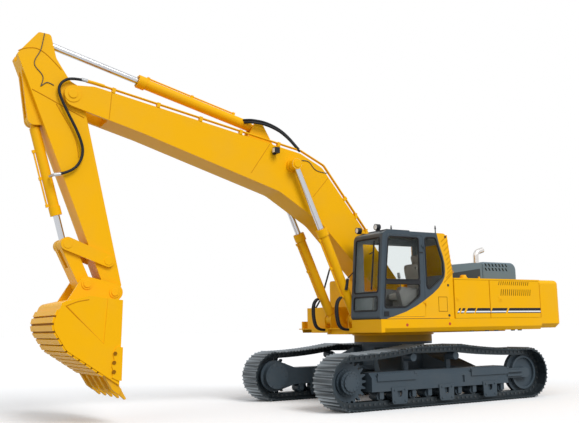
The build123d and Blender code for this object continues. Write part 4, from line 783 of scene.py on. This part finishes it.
def dress_house():
    for door, (seam, runs) in STRIPE_RUNS.items():
        for band, low, high, finish in STRIPE_BANDS:
            stripe = Shells()
            for front, rear in runs:
                square = rear == runs[-1][1]
                outline = [stripe_end(front, z, seam) for z in (low, high)]
                outline += [(rear, z) if square else stripe_end(rear, z, seam) for z in (high, low)]
                stripe.plate(outline, HOUSE_SIDE - STRIPE_SINK, HOUSE_SIDE + STRIPE_RISE)
            stripe.piece(f"{door}_{band}_stripe", finish, door, "black")

    block_piece("rear_door_latch", yellow_paint, "side_door_rear", "yellow", REAR_LATCH, bevel=0.003)
    block_piece("front_door_latch", yellow_paint, "side_door_front", "yellow", FRONT_LATCH, bevel=0.003)

    caps = Shells()
    for x, foot, top, radius, top_radius, sides in FILLER_CAPS:
        start, end = (x, FILLER_Y, HOUSE_TOP + foot), (x, FILLER_Y, HOUSE_TOP + top)
        caps.round_bar(start, end, radius, sides, top_radius)
    caps.piece("filler_caps", yellow_paint, "upper", "yellow", bevel=0.004)

    louvres = Shells()
    for row_x, low, high in LOUVRE_ROWS:
        for index in range(LOUVRE_COUNT):
            rear = row_x - index * LOUVRE_PITCH
            front = rear + LOUVRE_WIDTH
            low_edge, high_edge = ((rear, low), (front, low)), ((front, high), (rear, high))
            leaned = [(x - LOUVRE_LEAN, z) for x, z in high_edge]
            louvres.plate([*low_edge, *leaned], *LOUVRE_SHADE_Y)
    louvres.piece("louvre_shade", louvre_shade_dark, "side_door_rear", "yellow")

    recess = Shells()
    recess.plate(HOOD_RECESS, *HOOD_RECESS_Y)
    recess.piece("hood_recess_shade", hood_recess_painted_shade, "upper", "hood_grey")

    bar_piece("sill_reflectors", reflector, "upper", "black", REFLECTORS, 20)
    block_piece("deck_nuts", slate_paint, "upper", "slate", DECK_NUTS)
    block_piece("toolbox_handle", trim_black, "toolbox_lid", "black", TOOLBOX_HANDLE, bevel=0.004)


# Cab trim

def door_front(z):
    """x of the front edge of the door's glass at height z."""
    return screen_x(z) - 2 * CAB_PILLAR


QUARTER_WINDOW = (
    (0.29, cab_z(0.94)),
    (0.02, cab_z(0.945)),
    (-0.145, cab_z(0.663)),
    (-0.149, cab_z(0.497)),
    (0.225, cab_z(0.334)),
    (0.29, cab_z(0.361)),
)
DOOR_GLASS_TOP = cab_z(0.958) - 0.045
BAND_LOW = cab_z(0.398)
BAND_HIGH = cab_z(0.44)
DOOR_WINDOWS = (
    (
        (CAB_DOOR_REAR + 0.12, BAND_HIGH),
        (door_front(BAND_HIGH), BAND_HIGH),
        (door_front(DOOR_GLASS_TOP) - 0.03, DOOR_GLASS_TOP),
        (CAB_DOOR_REAR + 0.11, DOOR_GLASS_TOP),
    ),
    (
        (CAB_DOOR_REAR + 0.13, cab_z(0.256)),
        (CAB_DOOR_REAR + 0.47, cab_z(0.131)),
        (door_front(cab_z(0.126)), cab_z(0.126)),
        (door_front(BAND_LOW), BAND_LOW),
        (CAB_DOOR_REAR + 0.12, BAND_LOW),
    ),
)
SCREEN_Y = (0.64, 1.39)
SCREENS = ((cab_z(0.3), cab_z(0.92)), (cab_z(0.096), cab_z(0.255)))
GASKET_RADIUS = 0.017
GASKET_CORNER = 0.05
GASKET_HANDLES = (0.3 * GASKET_CORNER, 0.45 * GASKET_CORNER)
GASKET_SIDE_Y = CAB_SIDE - 0.006
GASKET_SCREEN_SINK = 0.004

# Bars on the windscreen by y and z of their ends, and bars by their end points; each with its radius
WIPER_BARS = (((1.25, 3.07), (1.22, 2.15), 0.016), ((1.12, 2.83), (1.243, 2.86), 0.011))
WIPER_GAP = 0.022
MIRROR_BARS = (
    ((1.465, 0.52, 2.4), (1.51, 0.52, 2.18), 0.03),
    ((1.463, 0.52, 2.41), (screen_x(2.55) - 0.02, 0.6, 2.55), 0.011),
)
AERIALS = ((0.73, 1.0), (-0.12, 1.32))
AERIAL_FOOT = CAB_ROOF - 0.01
AERIAL_NECK = CAB_ROOF + 0.1
AERIAL_TIP = CAB_ROOF + 0.17
SILL_SEAL = (
    (CAB_REAR, CAB_SIDE - 0.02, SILL - 0.004), (screen_x(SILL) - 0.01, CAB_SIDE + 0.002, SILL + 0.01)
)

DOOR_LOCK = ((1.225, CAB_SIDE - 0.006, 1.66), (1.335, CAB_SIDE + 0.012, 1.745))
DOOR_GRIP = ((0.36, CAB_SIDE - 0.004, 2.85), (0.45, CAB_SIDE + 0.014, 2.875))
DOOR_BAND = (
    (CAB_DOOR_REAR + 0.1, BAND_LOW - 0.01),
    (door_front(BAND_LOW) + 0.01, BAND_LOW - 0.01),
    (door_front(BAND_HIGH) + 0.01, BAND_HIGH + 0.01),
    (CAB_DOOR_REAR + 0.1, BAND_HIGH + 0.01),
)
DOOR_BAND_Y = (CAB_SIDE - 0.004, CAB_SIDE + 0.004)

LENS_X = (1.333, 1.341)
LENS_Y = (CAB_INSIDE + 0.14, CAB_SIDE - 0.17)
LENS_Z = CAB_ROOF + 0.068
LENS_RADIUS = 0.049

# Cowl ribs rise from near the paint edge to the cowl's rear, which leans. Their darker yellow is
# painted shade.
RIB_COUNT = 10
RIB_TOP = 3.08
RIB_PITCH = 0.088
RIB_HEIGHT = 0.022
RIB_RISE = 0.83
RIB_EDGE_GAP = 0.06
RIB_Y = (CAB_SIDE - 0.004, CAB_SIDE + 0.005)
COWL_TOP = (-0.262, 3.18)
COWL_LEAN = 0.17
COWL_BOLTS = [
    (place, CAB_SIDE - 0.004, CAB_SIDE + 0.008, 0.024)
    for place in ((-0.231, 3.19), (-0.25, 2.245), (-0.25, 1.66))
]

# Frame of the plate on the cab's side, drawn as lines of painted shade
PANEL_X = (-0.214, 0.012)
PANEL_Y = (CAB_SIDE - 0.002, CAB_SIDE + 0.003)
PANEL_Z = (1.735, 2.02)
PANEL_LINE = 0.009


def gasket(name, corners, body):
    """Black rubber round a window, a closed round bead with rounded corners."""
    count = len(corners)
    line, bead, points = new_line(name, "BEZIER", 2 * count)
    for index, corner in enumerate(corners):
        here = spot(*corner)
        for step, other in enumerate((corners[index - 1], corners[(index + 1) % count])):
            away = (spot(*other) - here).normalized()
            point = points[2 * index + step]
            point.co = here + away * GASKET_CORNER
            handles = [point.co + away * GASKET_HANDLES[0], here + away * GASKET_HANDLES[1]]
            if step:
                handles.reverse()
            point.handle_left_type = point.handle_right_type = "FREE"
            point.handle_left, point.handle_right = handles
    bead.use_cyclic_u = True
    line.bevel_depth = GASKET_RADIUS
    line.bevel_resolution = 2
    line.resolution_u = 6
    dress(name, mesh_of(line), rubber, body)


def side_corners(outline):
    """Corners of a side window, on the cab's left face."""
    return [(x, GASKET_SIDE_Y, z) for x, z in outline]


def dress_windows():
    gasket("quarter_gasket", side_corners(QUARTER_WINDOW), "upper")
    for index, outline in enumerate(DOOR_WINDOWS, 1):
        gasket(f"door_gasket_{index}", side_corners(outline), "cab_door")
    right, left = SCREEN_Y
    for index, (low, high) in enumerate(SCREENS, 1):
        corners = [
            (screen_x(z) - GASKET_SCREEN_SINK, y, z)
            for y, z in ((right, low), (left, low), (left, high), (right, high))
        ]
        gasket(f"screen_gasket_{index}", corners, "upper")


def dress_cab():
    dress_windows()

    black = Shells()
    for *ends, radius in WIPER_BARS:
        black.round_bar(*((screen_x(z) + WIPER_GAP, y, z) for y, z in ends), radius)
    for start, end, radius in MIRROR_BARS:
        black.round_bar(start, end, radius)
    for x, y in AERIALS:
        black.round_bar((x, y, AERIAL_FOOT), (x, y, AERIAL_NECK), 0.011)
        black.round_bar((x, y, AERIAL_NECK), (x, y, AERIAL_TIP), 0.018, end_radius=0.008)
    black.block(*SILL_SEAL)
    black.piece("cab_black_trim", trim_black, "upper", "black", bevel=0.002)

    door_trim = Shells()
    door_trim.block(*DOOR_LOCK)
    door_trim.plate(DOOR_BAND, *DOOR_BAND_Y)
    door_trim.block(*DOOR_GRIP)
    door_trim.piece("cab_door_trim", trim_black, "cab_door", "black", bevel=0.003)

    lenses = Shells()
    for y in LENS_Y:
        lenses.round_bar(*((x, y, LENS_Z) for x in LENS_X), LENS_RADIUS, sides=24)
    lenses.piece("cab_lamp_lenses", lamp_lens, "upper", "glass")

    ribs = Shells()
    for index in range(RIB_COUNT):
        z = RIB_TOP - index * RIB_PITCH
        front = edge_x(z) - RIB_EDGE_GAP
        rear = COWL_TOP[0] - COWL_LEAN * (COWL_TOP[1] - z)
        rear_z = z + RIB_RISE * (front - rear)
        outline = [(front, z), (rear, rear_z), (rear, rear_z + RIB_HEIGHT), (front, z + RIB_HEIGHT)]
        ribs.plate(outline, *RIB_Y)
    ribs.piece("cowl_ribs", rib_shade, "upper", "yellow", bevel=0.002)

    bar_piece("cowl_bolts", trim_black, "upper", "black", COWL_BOLTS, 18, bevel=0.003)

    (rear, front), (foot, top) = PANEL_X, PANEL_Z
    panel_lines = [
        ((x_a, PANEL_Y[0], z_a), (x_b, PANEL_Y[1], z_b))
        for x_a, x_b, z_a, z_b in (
            (rear, front, foot, foot + PANEL_LINE),
            (rear, front, top - PANEL_LINE, top),
            (rear, rear + PANEL_LINE, foot, top),
            (front - PANEL_LINE, front, foot, top),
        )
    ]
    block_piece("side_panel_frame", groove_shade, "upper", "yellow", panel_lines)


# Seat: crowned cushions on a plain base between two consoles, given from the seat's place on the floor
SEAT_X = 0.48
SEAT_Y = (CAB_INSIDE + CAB_SIDE) / 2
CAB_FLOOR = SILL + 0.045
BASE_HALF = 0.17
BASE_HEIGHT = 0.31
CONSOLE = ((-0.15, 0), (0.3, 0), (0.42, 0.46), (0.36, 0.56), (-0.15, 0.52))
CONSOLE_Y = (0.25, 0.375)
STICK = ((0.33, 0.54), (0.36, 0.72), (0.375, 0.83))
LEVER_RADIUS = 0.012
KNOB_RADII = (0.03, 0.024)
PEDAL_Y = 0.12
PEDAL_LEVER = ((0.7, 0), (0.64, 0.5))
PEDAL = ((0.64, 0.02), (0.84, 0.1), (0.83, 0.12), (0.63, 0.04))
PEDAL_HALF_WIDTH = 0.06

# Cushions: place, half sizes and lean in degrees
CUSHIONS = (
    ("seat_cushion", (0, 0.39), (0.26, 0.235, 0.07), 0),
    ("seat_back", (-0.27, 0.74), (0.31, 0.225, 0.06), -77),
    ("seat_headrest", (-0.345, 1.13), (0.09, 0.14, 0.045), -79),
)
CUSHION_CUTS = 15
CUSHION_ROUNDING = 0.12
CUSHION_WAIST = 0.05
CUSHION_CROWN = 0.22
CHANNELS = (-0.45, 0.45)
CHANNEL_WIDTH = 0.05
CHANNEL_DEPTH = 0.1


def seat_spot(place, y):
    """Point at a side-view place given from the seat."""
    return SEAT_X + place[0], y, CAB_FLOOR + place[1]


def seat_outline(places):
    return [(SEAT_X + x, CAB_FLOOR + z) for x, z in places]


def cushion(name, place, half, lean):
    """Stuffed pad: crowned outer face, sides drawn in between corners, two sewn channels."""
    pad = bmesh.new()
    bmesh.ops.create_cube(pad, size=2)
    bmesh.ops.subdivide_edges(pad, edges=pad.edges, cuts=CUSHION_CUTS, use_grid_fill=True)
    centre = spot(*seat_spot(place, SEAT_Y))
    turn = Matrix.Rotation(math.radians(lean), 3, "Y")
    for vert in pad.verts:
        u, v, w = vert.co
        corner = abs(u * v) ** 4 + abs(v * w) ** 4 + abs(u * w) ** 4
        shrink = 1 - CUSHION_ROUNDING * corner
        channel = sum(math.exp(-((v - seam) / CHANNEL_WIDTH) ** 2) for seam in CHANNELS)
        crown = CUSHION_CROWN * (1 - u * u) * (1 - v * v) - CHANNEL_DEPTH * channel * (1 - u * u)
        x = u * (1 - CUSHION_WAIST * (1 - v * v) * abs(u)) * shrink
        y = v * (1 - CUSHION_WAIST * (1 - u * u) * abs(v)) * shrink
        z = w * shrink + crown * (w > 0) * w
        vert.co = centre + turn @ Vector((x * half[0], y * half[1], z * half[2]))
    bmesh.ops.recalc_face_normals(pad, faces=pad.faces)
    for face in pad.faces:
        face.smooth = True
    data = bpy.data.meshes.new(name)
    pad.to_mesh(data)
    pad.free()
    piece = dress(name, data, seat_cloth, "upper")


def dress_seat():
    base = Shells()
    base.block(
        seat_spot((-BASE_HALF, 0), SEAT_Y - BASE_HALF),
        seat_spot((BASE_HALF, BASE_HEIGHT), SEAT_Y + BASE_HALF),
    )
    for side in BOTH_SIDES:
        near, far = sorted(SEAT_Y + side * y for y in CONSOLE_Y)
        base.plate(seat_outline(CONSOLE), near, far)
        foot, top, knob = (seat_spot(place, (near + far) / 2) for place in STICK)
        base.round_bar(foot, top, LEVER_RADIUS)
        base.round_bar(top, knob, KNOB_RADII[0], end_radius=KNOB_RADII[1])
    for side in BOTH_SIDES:
        y = SEAT_Y + side * PEDAL_Y
        base.round_bar(*(seat_spot(place, y) for place in PEDAL_LEVER), LEVER_RADIUS)
        base.plate(seat_outline(PEDAL), y - PEDAL_HALF_WIDTH, y + PEDAL_HALF_WIDTH)
    base_piece = base.piece("seat_base", console_plastic, "upper", "seat", bevel=0.012)
    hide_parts("cab_seat")
    for name, place, half, lean in CUSHIONS:
        cushion(name, place, half, lean)


# Front trim

# Lines that lie on the left sides: how far out their middle is, radius, finish. The weld, crease and
# seam lines are drawn in a darker yellow as painted shade.
GREASE = (0.006, 0.008, line_brown)
WELD = (-0.001, 0.009, rib_shade)
SIDE_LINES = (
    ("arm_grease_line", "arm", ARM_SIDE, GREASE, (
        (7.297, 6.42), (7.325, 6.244), (7.352, 6.099), (7.449, 5.933),
        (7.445, 5.825), (7.312, 5.708), (7.29, 5.612), (7.333, 5.497),
    )),
    ("arm_grease_branch", "arm", ARM_SIDE, GREASE, (
        (7.333, 5.497), (7.288, 5.534), (7.243, 5.58), (7.177, 5.57), (7.119, 5.543),
    )),
    ("boom_grease_line", "boom", BOOM_SIDE, GREASE, (
        (2.326, 4.716), (2.196, 4.724), (2.115, 4.669), (2.068, 4.594), (1.954, 4.52), (1.738, 4.511),
    )),
    ("arm_ear_weld", "arm", ARM_SIDE, WELD, (
        (7.708, 6.048), (7.637, 6.1), (7.509, 6.136), (7.399, 6.142),
        (7.266, 6.076), (7.111, 5.942), (7.0, 5.83),
    )),
    ("arm_plate_weld", "arm", ARM_SIDE, WELD, (
        (7.468, 5.429), (7.205, 5.32), (7.015, 5.228), (6.783, 5.131), (6.6, 5.05),
    )),
    ("arm_curve_weld", "arm", ARM_SIDE, WELD, (
        (7.071, 5.231), (6.933, 5.012), (6.813, 4.829), (6.732, 4.66), (6.69, 4.487), (6.677, 4.351),
    )),
    ("bucket_side_crease", "bucket", BUCKET_SIDE, WELD, (
        (6.96, 1.874), (6.66, 1.574), (6.36, 1.274),
    )),
    ("bucket_side_seam", "bucket", BUCKET_SIDE, WELD, (
        (6.936, 1.876), (6.803, 1.932), (6.7, 1.952), (6.599, 1.969),
    )),
)

# Weld seams of the boom, on both sides, drawn in a darker yellow as painted shade
BOOM_WELDS = (
    ((3.033, 4.97), (3.451, 4.365)), ((1.714, 4.419), (2.079, 4.007)), ((6.15, 5.53), (6.19, 5.06)),
)
BOOM_WELD_HALF_WIDTH = 0.006
BOOM_WELD_HALF_HEIGHT = 0.003

# Round trim across the front: piece, body, finish, bevel, sides of a bar, sides of the machine, and
# the place, inner and outer y and radius of each bar
CAP_SIDES = 28
EYE_SIDES = 40
EYE_RADIUS = 0.1065
CUTTER_BOLTS = [
    (place, 0.776, 0.79, 0.034) for place in ((6.172, 1.117), (6.187, 0.975), (6.188, 0.832))
]
CROSS_TRIM = (
    ("boom_pin_caps", "boom", yellow_paint, 0.004, CAP_SIDES, BOTH_SIDES, (
        (ARM_PIN, 0.3, 0.318, 0.075), (BOOM_ROD_EYE, 0.488, 0.506, 0.07),
    )),
    ("bucket_pin_caps", "bucket", yellow_paint, 0.004, CAP_SIDES, BOTH_SIDES, (
        (BUCKET_PIN, 0.348, 0.366, 0.06), (BUCKET_LINK_PIN, 0.348, 0.366, 0.06),
    )),
    ("link_pin_caps", "side_links", yellow_paint, 0.003, CAP_SIDES, BOTH_SIDES, (
        (SIDE_LINK_PIN, 0.264, 0.276, 0.07), (BUCKET_ROD_EYE, 0.264, 0.276, 0.078),
    )),
    ("cutter_bolts", "bucket", groove_shade, 0.003, 6, BOTH_SIDES, CUTTER_BOLTS),
    ("boom_rod_eyes", "boom_rods", yellow_paint, 0.004, EYE_SIDES, BOTH_SIDES, (
        (BOOM_ROD_EYE, BOOM_CYLINDER_Y - 0.0705, BOOM_CYLINDER_Y + 0.0705, EYE_RADIUS),
    )),
    ("bucket_rod_eye", "bucket_rod", yellow_paint, 0.004, EYE_SIDES, (1,), (
        (BUCKET_ROD_EYE, -0.0655, 0.0655, EYE_RADIUS),
    )),
)
BOOM_LENS = (((3.006, 0.345, 4.79), (3.012, 0.425, 4.876)),)

# Ends of the boom's pipes: y and socket radius of each pipe, its foot and its socket
BOOM_PIPES = ((0.248, 0.021), (0.281, 0.027))
PIPE_RADIUS = 0.015
PIPE_TOP = (1.255, 3.984)
PIPE_BEND = (0.62, 3.188)
PIPE_FOOT = (0.72, 3.09)
PIPE_FOOT_DRAWN_IN = 0.9
PIPE_SOCKET = ((6.28, 5.636), (6.44, 5.663), (6.58, 5.681))
PIPE_CLAMPS = ((1.05, 3.727), (0.8, 3.414))
CLAMP_LOW = (-0.02, 0.225, -0.09)
CLAMP_HIGH = (0.03, 0.3, 0.025)

# Hoses: control points of smooth lines, as in the part
HOSE_RADIUS = 0.024
ARM_HOSE_Y = 0.283
ARM_HOSE = (
    (6.29, 5.638), (6.8045, 5.7321), (7.06, 5.57), (7.03, 5.33),
    (6.64, 4.64), (6.62, 4.33), (6.8, 4.085), (7.02, 4.03),
)
HOSE_NUTS = {
    "boom": [((6.57, ARM_HOSE_Y, 5.684), (6.68, ARM_HOSE_Y, 5.696), 0.031, 6)],
    "arm": [
        ((6.98, ARM_HOSE_Y, 4.033), (7.1, ARM_HOSE_Y, 4.012), 0.031, 6),
        ((7.09, ARM_HOSE_Y + 0.02, 4.014), (7.12, 0.13, 4.01), 0.024, 16),
    ],
}
FOOT_HOSE = ((1.425, 1.42), (1.59, 1.42), (1.68, 1.64), (1.6728, 1.9925), (1.5632, 2.0415))
FOOT_HOSE_SPREAD = 0.026
CYLINDER_HOSE = (
    (2.36, 0.248, 4.945), (2.44, 0.243, 5.02), (2.58, 0.235, 5.16),
    (2.76, 0.225, 5.29), (2.95, 0.215, 5.37), (3.13, 0.215, 5.41),
    (3.28, 0.21, 5.42), (3.42, 0.19, 5.425), (3.5, 0.09, 5.43),
)
CYLINDER_HOSE_STEP = Vector((0, 0.037, -0.055))

# Wear strips on the bucket's back: foot and outer edge of each, from the top down
WEAR_STRIPS = (
    ((7.0837, 1.7596), (7.1094, 1.7707)),
    ((7.1268, 1.6493), (7.1552, 1.6568)),
    ((7.1305, 1.5323), (7.1593, 1.5265)),
    ((7.0842, 1.4242), (7.1079, 1.4092)),
    ((7.0208, 1.3238), (7.0445, 1.3088)),
    ((6.9569, 1.2233), (6.9811, 1.2085)),
    ((6.8729, 1.1419), (6.8884, 1.1186)),
    ((6.7741, 1.0761), (6.7896, 1.0528)),
    ((6.6753, 1.0102), (6.6908, 0.9869)),
    ((6.5766, 0.9444), (6.5921, 0.9211)),
    ((6.4778, 0.8785), (6.4933, 0.8552)),
    ((6.379, 0.8127), (6.3945, 0.7893)),
)
STRIP_HALF_WIDTH = 0.046
STRIP_THICKNESS = 0.0295
GAP_THICKNESS = 0.006
GAP_END_Y = BUCKET_SIDE - 0.002

# Heads of the barrels: body, foot pin, rod's eye, start and end along the barrel, radius, y of each
BARREL_HEADS = (
    (
        "boom_barrels", BOOM_BARREL_FOOT, BOOM_ROD_EYE, 1.75, 1.9, 0.115,
        (-BOOM_CYLINDER_Y, BOOM_CYLINDER_Y),
    ),
    ("arm_barrel", ARM_BARREL_FOOT, ARM_ROD_EYE, 2.33, 2.48, 0.122, (0.0,)),
)
HEAD_BOLT_INSET = 0.02
HEAD_BOLT_COUNT = 10
HEAD_BOLT_SIZE = (0.011, 0.02)


def dress_boom_pipes():
    pipes = Shells()
    for side in BOTH_SIDES:
        for pipe_y, socket_radius in BOOM_PIPES:
            y = side * pipe_y
            top, bend, *socket = ((x, y, z) for x, z in (PIPE_TOP, PIPE_BEND, *PIPE_SOCKET))
            foot = (PIPE_FOOT[0], y * PIPE_FOOT_DRAWN_IN, PIPE_FOOT[1])
            pipes.round_bar(top, bend, PIPE_RADIUS)
            pipes.round_bar(bend, foot, PIPE_RADIUS)
            for start, end in zip(socket, socket[1:]):
                pipes.round_bar(start, end, socket_radius)
        for x, z in PIPE_CLAMPS:
            pipes.block(*(
                (x + across, side * out, z + up) for across, out, up in (CLAMP_LOW, CLAMP_HIGH)
            ))
    pipes.piece("boom_pipe_ends", yellow_paint, "boom", "yellow")

    for body, bars in HOSE_NUTS.items():
        nut = Shells()
        for start, end, radius, sides in bars:
            nut.round_bar(start, end, radius, sides)
        nut.piece(f"{body}_hose_nut", bolt_steel, body, "chrome", bevel=0.003)


def dress_front():
    welds = Shells()
    for start, end in BOOM_WELDS:
        start, end = Vector(start), Vector(end)
        along = (end - start).normalized()
        aside = Vector((-along.y, along.x)) * BOOM_WELD_HALF_WIDTH
        outline = [start + aside, end + aside, end - aside, start - aside]
        for side in BOTH_SIDES:
            low, high = BOOM_SIDE - BOOM_WELD_HALF_HEIGHT, BOOM_SIDE + BOOM_WELD_HALF_HEIGHT
            welds.plate(outline, side * low, side * high)
    welds.piece("boom_welds", rib_shade, "boom", "yellow", bevel=0.002)

    for name, body, finish, bevel, bar_sides, sides, bars in CROSS_TRIM:
        bar_piece(name, finish, body, "yellow", bars, bar_sides, bevel, sides)
    block_piece("boom_lamp_lens", lamp_lens, "boom", "glass", BOOM_LENS, bevel=0.002)
    dress_boom_pipes()
    for name, body, side_y, (stand_off, radius, finish), route in SIDE_LINES:
        data = hose(name, [spot(x, side_y + stand_off, z) for x, z in route], radius)[0]
        dress(name, data, finish, body)


def dress_bucket_back():
    """Flat wear plates over the strips, with painted shade in the gaps between them."""
    plates, gaps = Shells(), Shells()
    gap_start = None
    for foot, edge in WEAR_STRIPS:
        foot = Vector(foot)
        out = (Vector(edge) - foot).normalized()
        down = Vector((out.y, -out.x)) * STRIP_HALF_WIDTH
        upper, lower = foot - down, foot + down
        rise, gap_rise = out * STRIP_THICKNESS, out * GAP_THICKNESS
        plates.plate([upper, lower, lower + rise, upper + rise], -BUCKET_SIDE, BUCKET_SIDE)
        if gap_start:
            gaps.plate([*gap_start, upper + gap_rise, upper], -GAP_END_Y, GAP_END_Y)
        gap_start = (lower, lower + gap_rise)
    plates.piece("wear_plates", yellow_paint, "bucket", "yellow", bevel=0.004)
    gaps.piece("wear_plate_gap_shade", groove_shade, "bucket", "yellow")


def dress_barrel_heads():
    """Wider heads at the rod ends of the barrels, with their bolts."""
    for body, foot, eye, start, end, radius, barrels_y in BARREL_HEADS:
        foot = Vector(foot)
        along = (Vector(eye) - foot).normalized()
        low, high = foot + along * start, foot + along * end
        heads, rings = Shells(), []
        for y in barrels_y:
            face = (high.x, y, high.y)
            heads.round_bar((low.x, y, low.y), face, radius, sides=40)
            axis = (along.x, 0, along.y)
            ring_radius = radius - HEAD_BOLT_INSET
            rings.append(bolt_ring(face, axis, HEAD_BOLT_COUNT, ring_radius, *HEAD_BOLT_SIZE))
        heads.piece(f"{body}_heads", yellow_paint, body, "yellow", bevel=0.006)
        dress_joined(f"{body}_head_bolts", rings, yellow_paint, body)


def hang(name, route, node=None):
    """Hose on a smooth route that rides on no body, in place of a node if one is named."""
    data, path = hose(name, route, HOSE_RADIUS)
    piece = dress(name, data, rubber, None)
    if node:
        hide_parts(node)
    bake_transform(piece)


def dress_hoses():
    hang("arm_hose_line", [spot(x, ARM_HOSE_Y, z) for x, z in ARM_HOSE], "arm_hose")
    foot_hoses_y = [
        side * BOOM_CYLINDER_Y + spread * FOOT_HOSE_SPREAD
        for side in BOTH_SIDES
        for spread in BOTH_SIDES
    ]
    for index, y in enumerate(foot_hoses_y, 1):
        route = [spot(x, y, z) for x, z in FOOT_HOSE]
        hang(f"foot_hose_{index}", route, "foot_hoses")
    for index in range(2):
        route = [spot(*place) + index * CYLINDER_HOSE_STEP for place in CYLINDER_HOSE]
        hang(f"cylinder_hose_{index + 1}", route)


dress_undercarriage()
dress_house()
dress_cab()
dress_seat()
dress_front()
dress_bucket_back()
dress_barrel_heads()
dress_hoses()


# Floor, light and camera

FLOOR_SIZE = 400.0
FLOOR_SEEN = (0.95, 0.95, 0.95)
FLOOR_BOUNCE = (0.42, 0.42, 0.42)
FLOOR_ROUGHNESS = 0.9
SKY_STRENGTH = 0.62

# Suns: name, strength, angle they seem wide in degrees, way the light goes
SUNS = (
    ("key_sun", 2.0, 30.0, (0.12, -1.0, -0.95)),
    ("fill_sun", 0.55, 60.0, (-1.0, -0.25, -0.35)),
)

# Camera, as solved from the photo
CAMERA_PLACE = (8.075, 12.804, 1.478)
CAMERA_YAW = math.radians(30.81)
CAMERA_PITCH = math.radians(8.61)
CAMERA_ROLL = math.radians(-0.97)
CAMERA_LENS = 47.65
CAMERA_SENSOR = 36.0


def seen_directly(tree):
    """1 for what the camera sees, also in metal and through glass."""
    ray = add_node(tree, "ShaderNodeLightPath").outputs
    seen = 0.0
    for kind in ("Is Camera Ray", "Is Glossy Ray", "Is Transmission Ray"):
        seen = calculate(tree, "MAXIMUM", ray[kind], seen)
    return seen


def make_floor():
    """Floor that looks white and throws less light back up than it shows."""
    data = bpy.data.meshes.new("floor")
    half = FLOOR_SIZE / 2
    corners = [(-half, -half, 0), (half, -half, 0), (half, half, 0), (-half, half, 0)]
    data.from_pydata(corners, [], [(0, 1, 2, 3)])
    floor = bpy.data.objects.new("floor", data)
    bpy.context.scene.collection.objects.link(floor)
    material, tree, shader = new_material("floor_white")
    tone = mix_colours(tree, seen_directly(tree), opaque(FLOOR_BOUNCE), opaque(FLOOR_SEEN))
    set_inputs(tree, shader, {
        "Base Color": tone, "Roughness": FLOOR_ROUGHNESS, "Specular IOR Level": 0.0,
    })
    data.materials.append(material)


def make_light():
    """Soft sky that looks white to the camera, and two suns."""
    world = bpy.data.worlds.new("studio")
    bpy.context.scene.world = world
    world.use_nodes = True
    tree = world.node_tree
    soft = tree.nodes["Background"]
    set_inputs(tree, soft, {"Color": opaque(SKY), "Strength": SKY_STRENGTH})
    white = add_node(tree, "ShaderNodeBackground", {"Color": (1, 1, 1, 1), "Strength": 1.0})
    choose = add_node(tree, "ShaderNodeMixShader", {
        "Fac": seen_directly(tree), 1: soft.outputs["Background"], 2: white.outputs["Background"],
    })
    set_inputs(tree, tree.nodes["World Output"], {"Surface": choose.outputs["Shader"]})
    for name, strength, spread, towards in SUNS:
        lamp = bpy.data.lights.new(name, "SUN")
        lamp.energy = strength
        lamp.angle = math.radians(spread)
        holder = bpy.data.objects.new(name, lamp)
        bpy.context.scene.collection.objects.link(holder)
        holder.rotation_euler = Vector(towards).to_track_quat("-Z", "Y").to_euler()


def make_camera():
    data = bpy.data.cameras.new("camera")
    data.lens = CAMERA_LENS
    data.sensor_width = CAMERA_SENSOR
    data.sensor_fit = "HORIZONTAL"
    camera = bpy.data.objects.new("camera", data)
    bpy.context.scene.collection.objects.link(camera)
    level = math.cos(CAMERA_PITCH)
    forward = Vector((
        -math.sin(CAMERA_YAW) * level, -math.cos(CAMERA_YAW) * level, math.sin(CAMERA_PITCH)
    ))
    right = forward.cross(Vector((0, 0, 1))).normalized()
    up = right.cross(forward)
    rolled_right = math.cos(CAMERA_ROLL) * right + math.sin(CAMERA_ROLL) * up
    rolled_up = math.cos(CAMERA_ROLL) * up - math.sin(CAMERA_ROLL) * right
    turn = Matrix((rolled_right, rolled_up, -forward)).transposed()
    camera.matrix_world = Matrix.Translation(CAMERA_PLACE) @ turn.to_4x4()
    bpy.context.scene.camera = camera


make_floor()
make_light()
make_camera()
bpy.context.scene.view_settings.view_transform = "Standard"
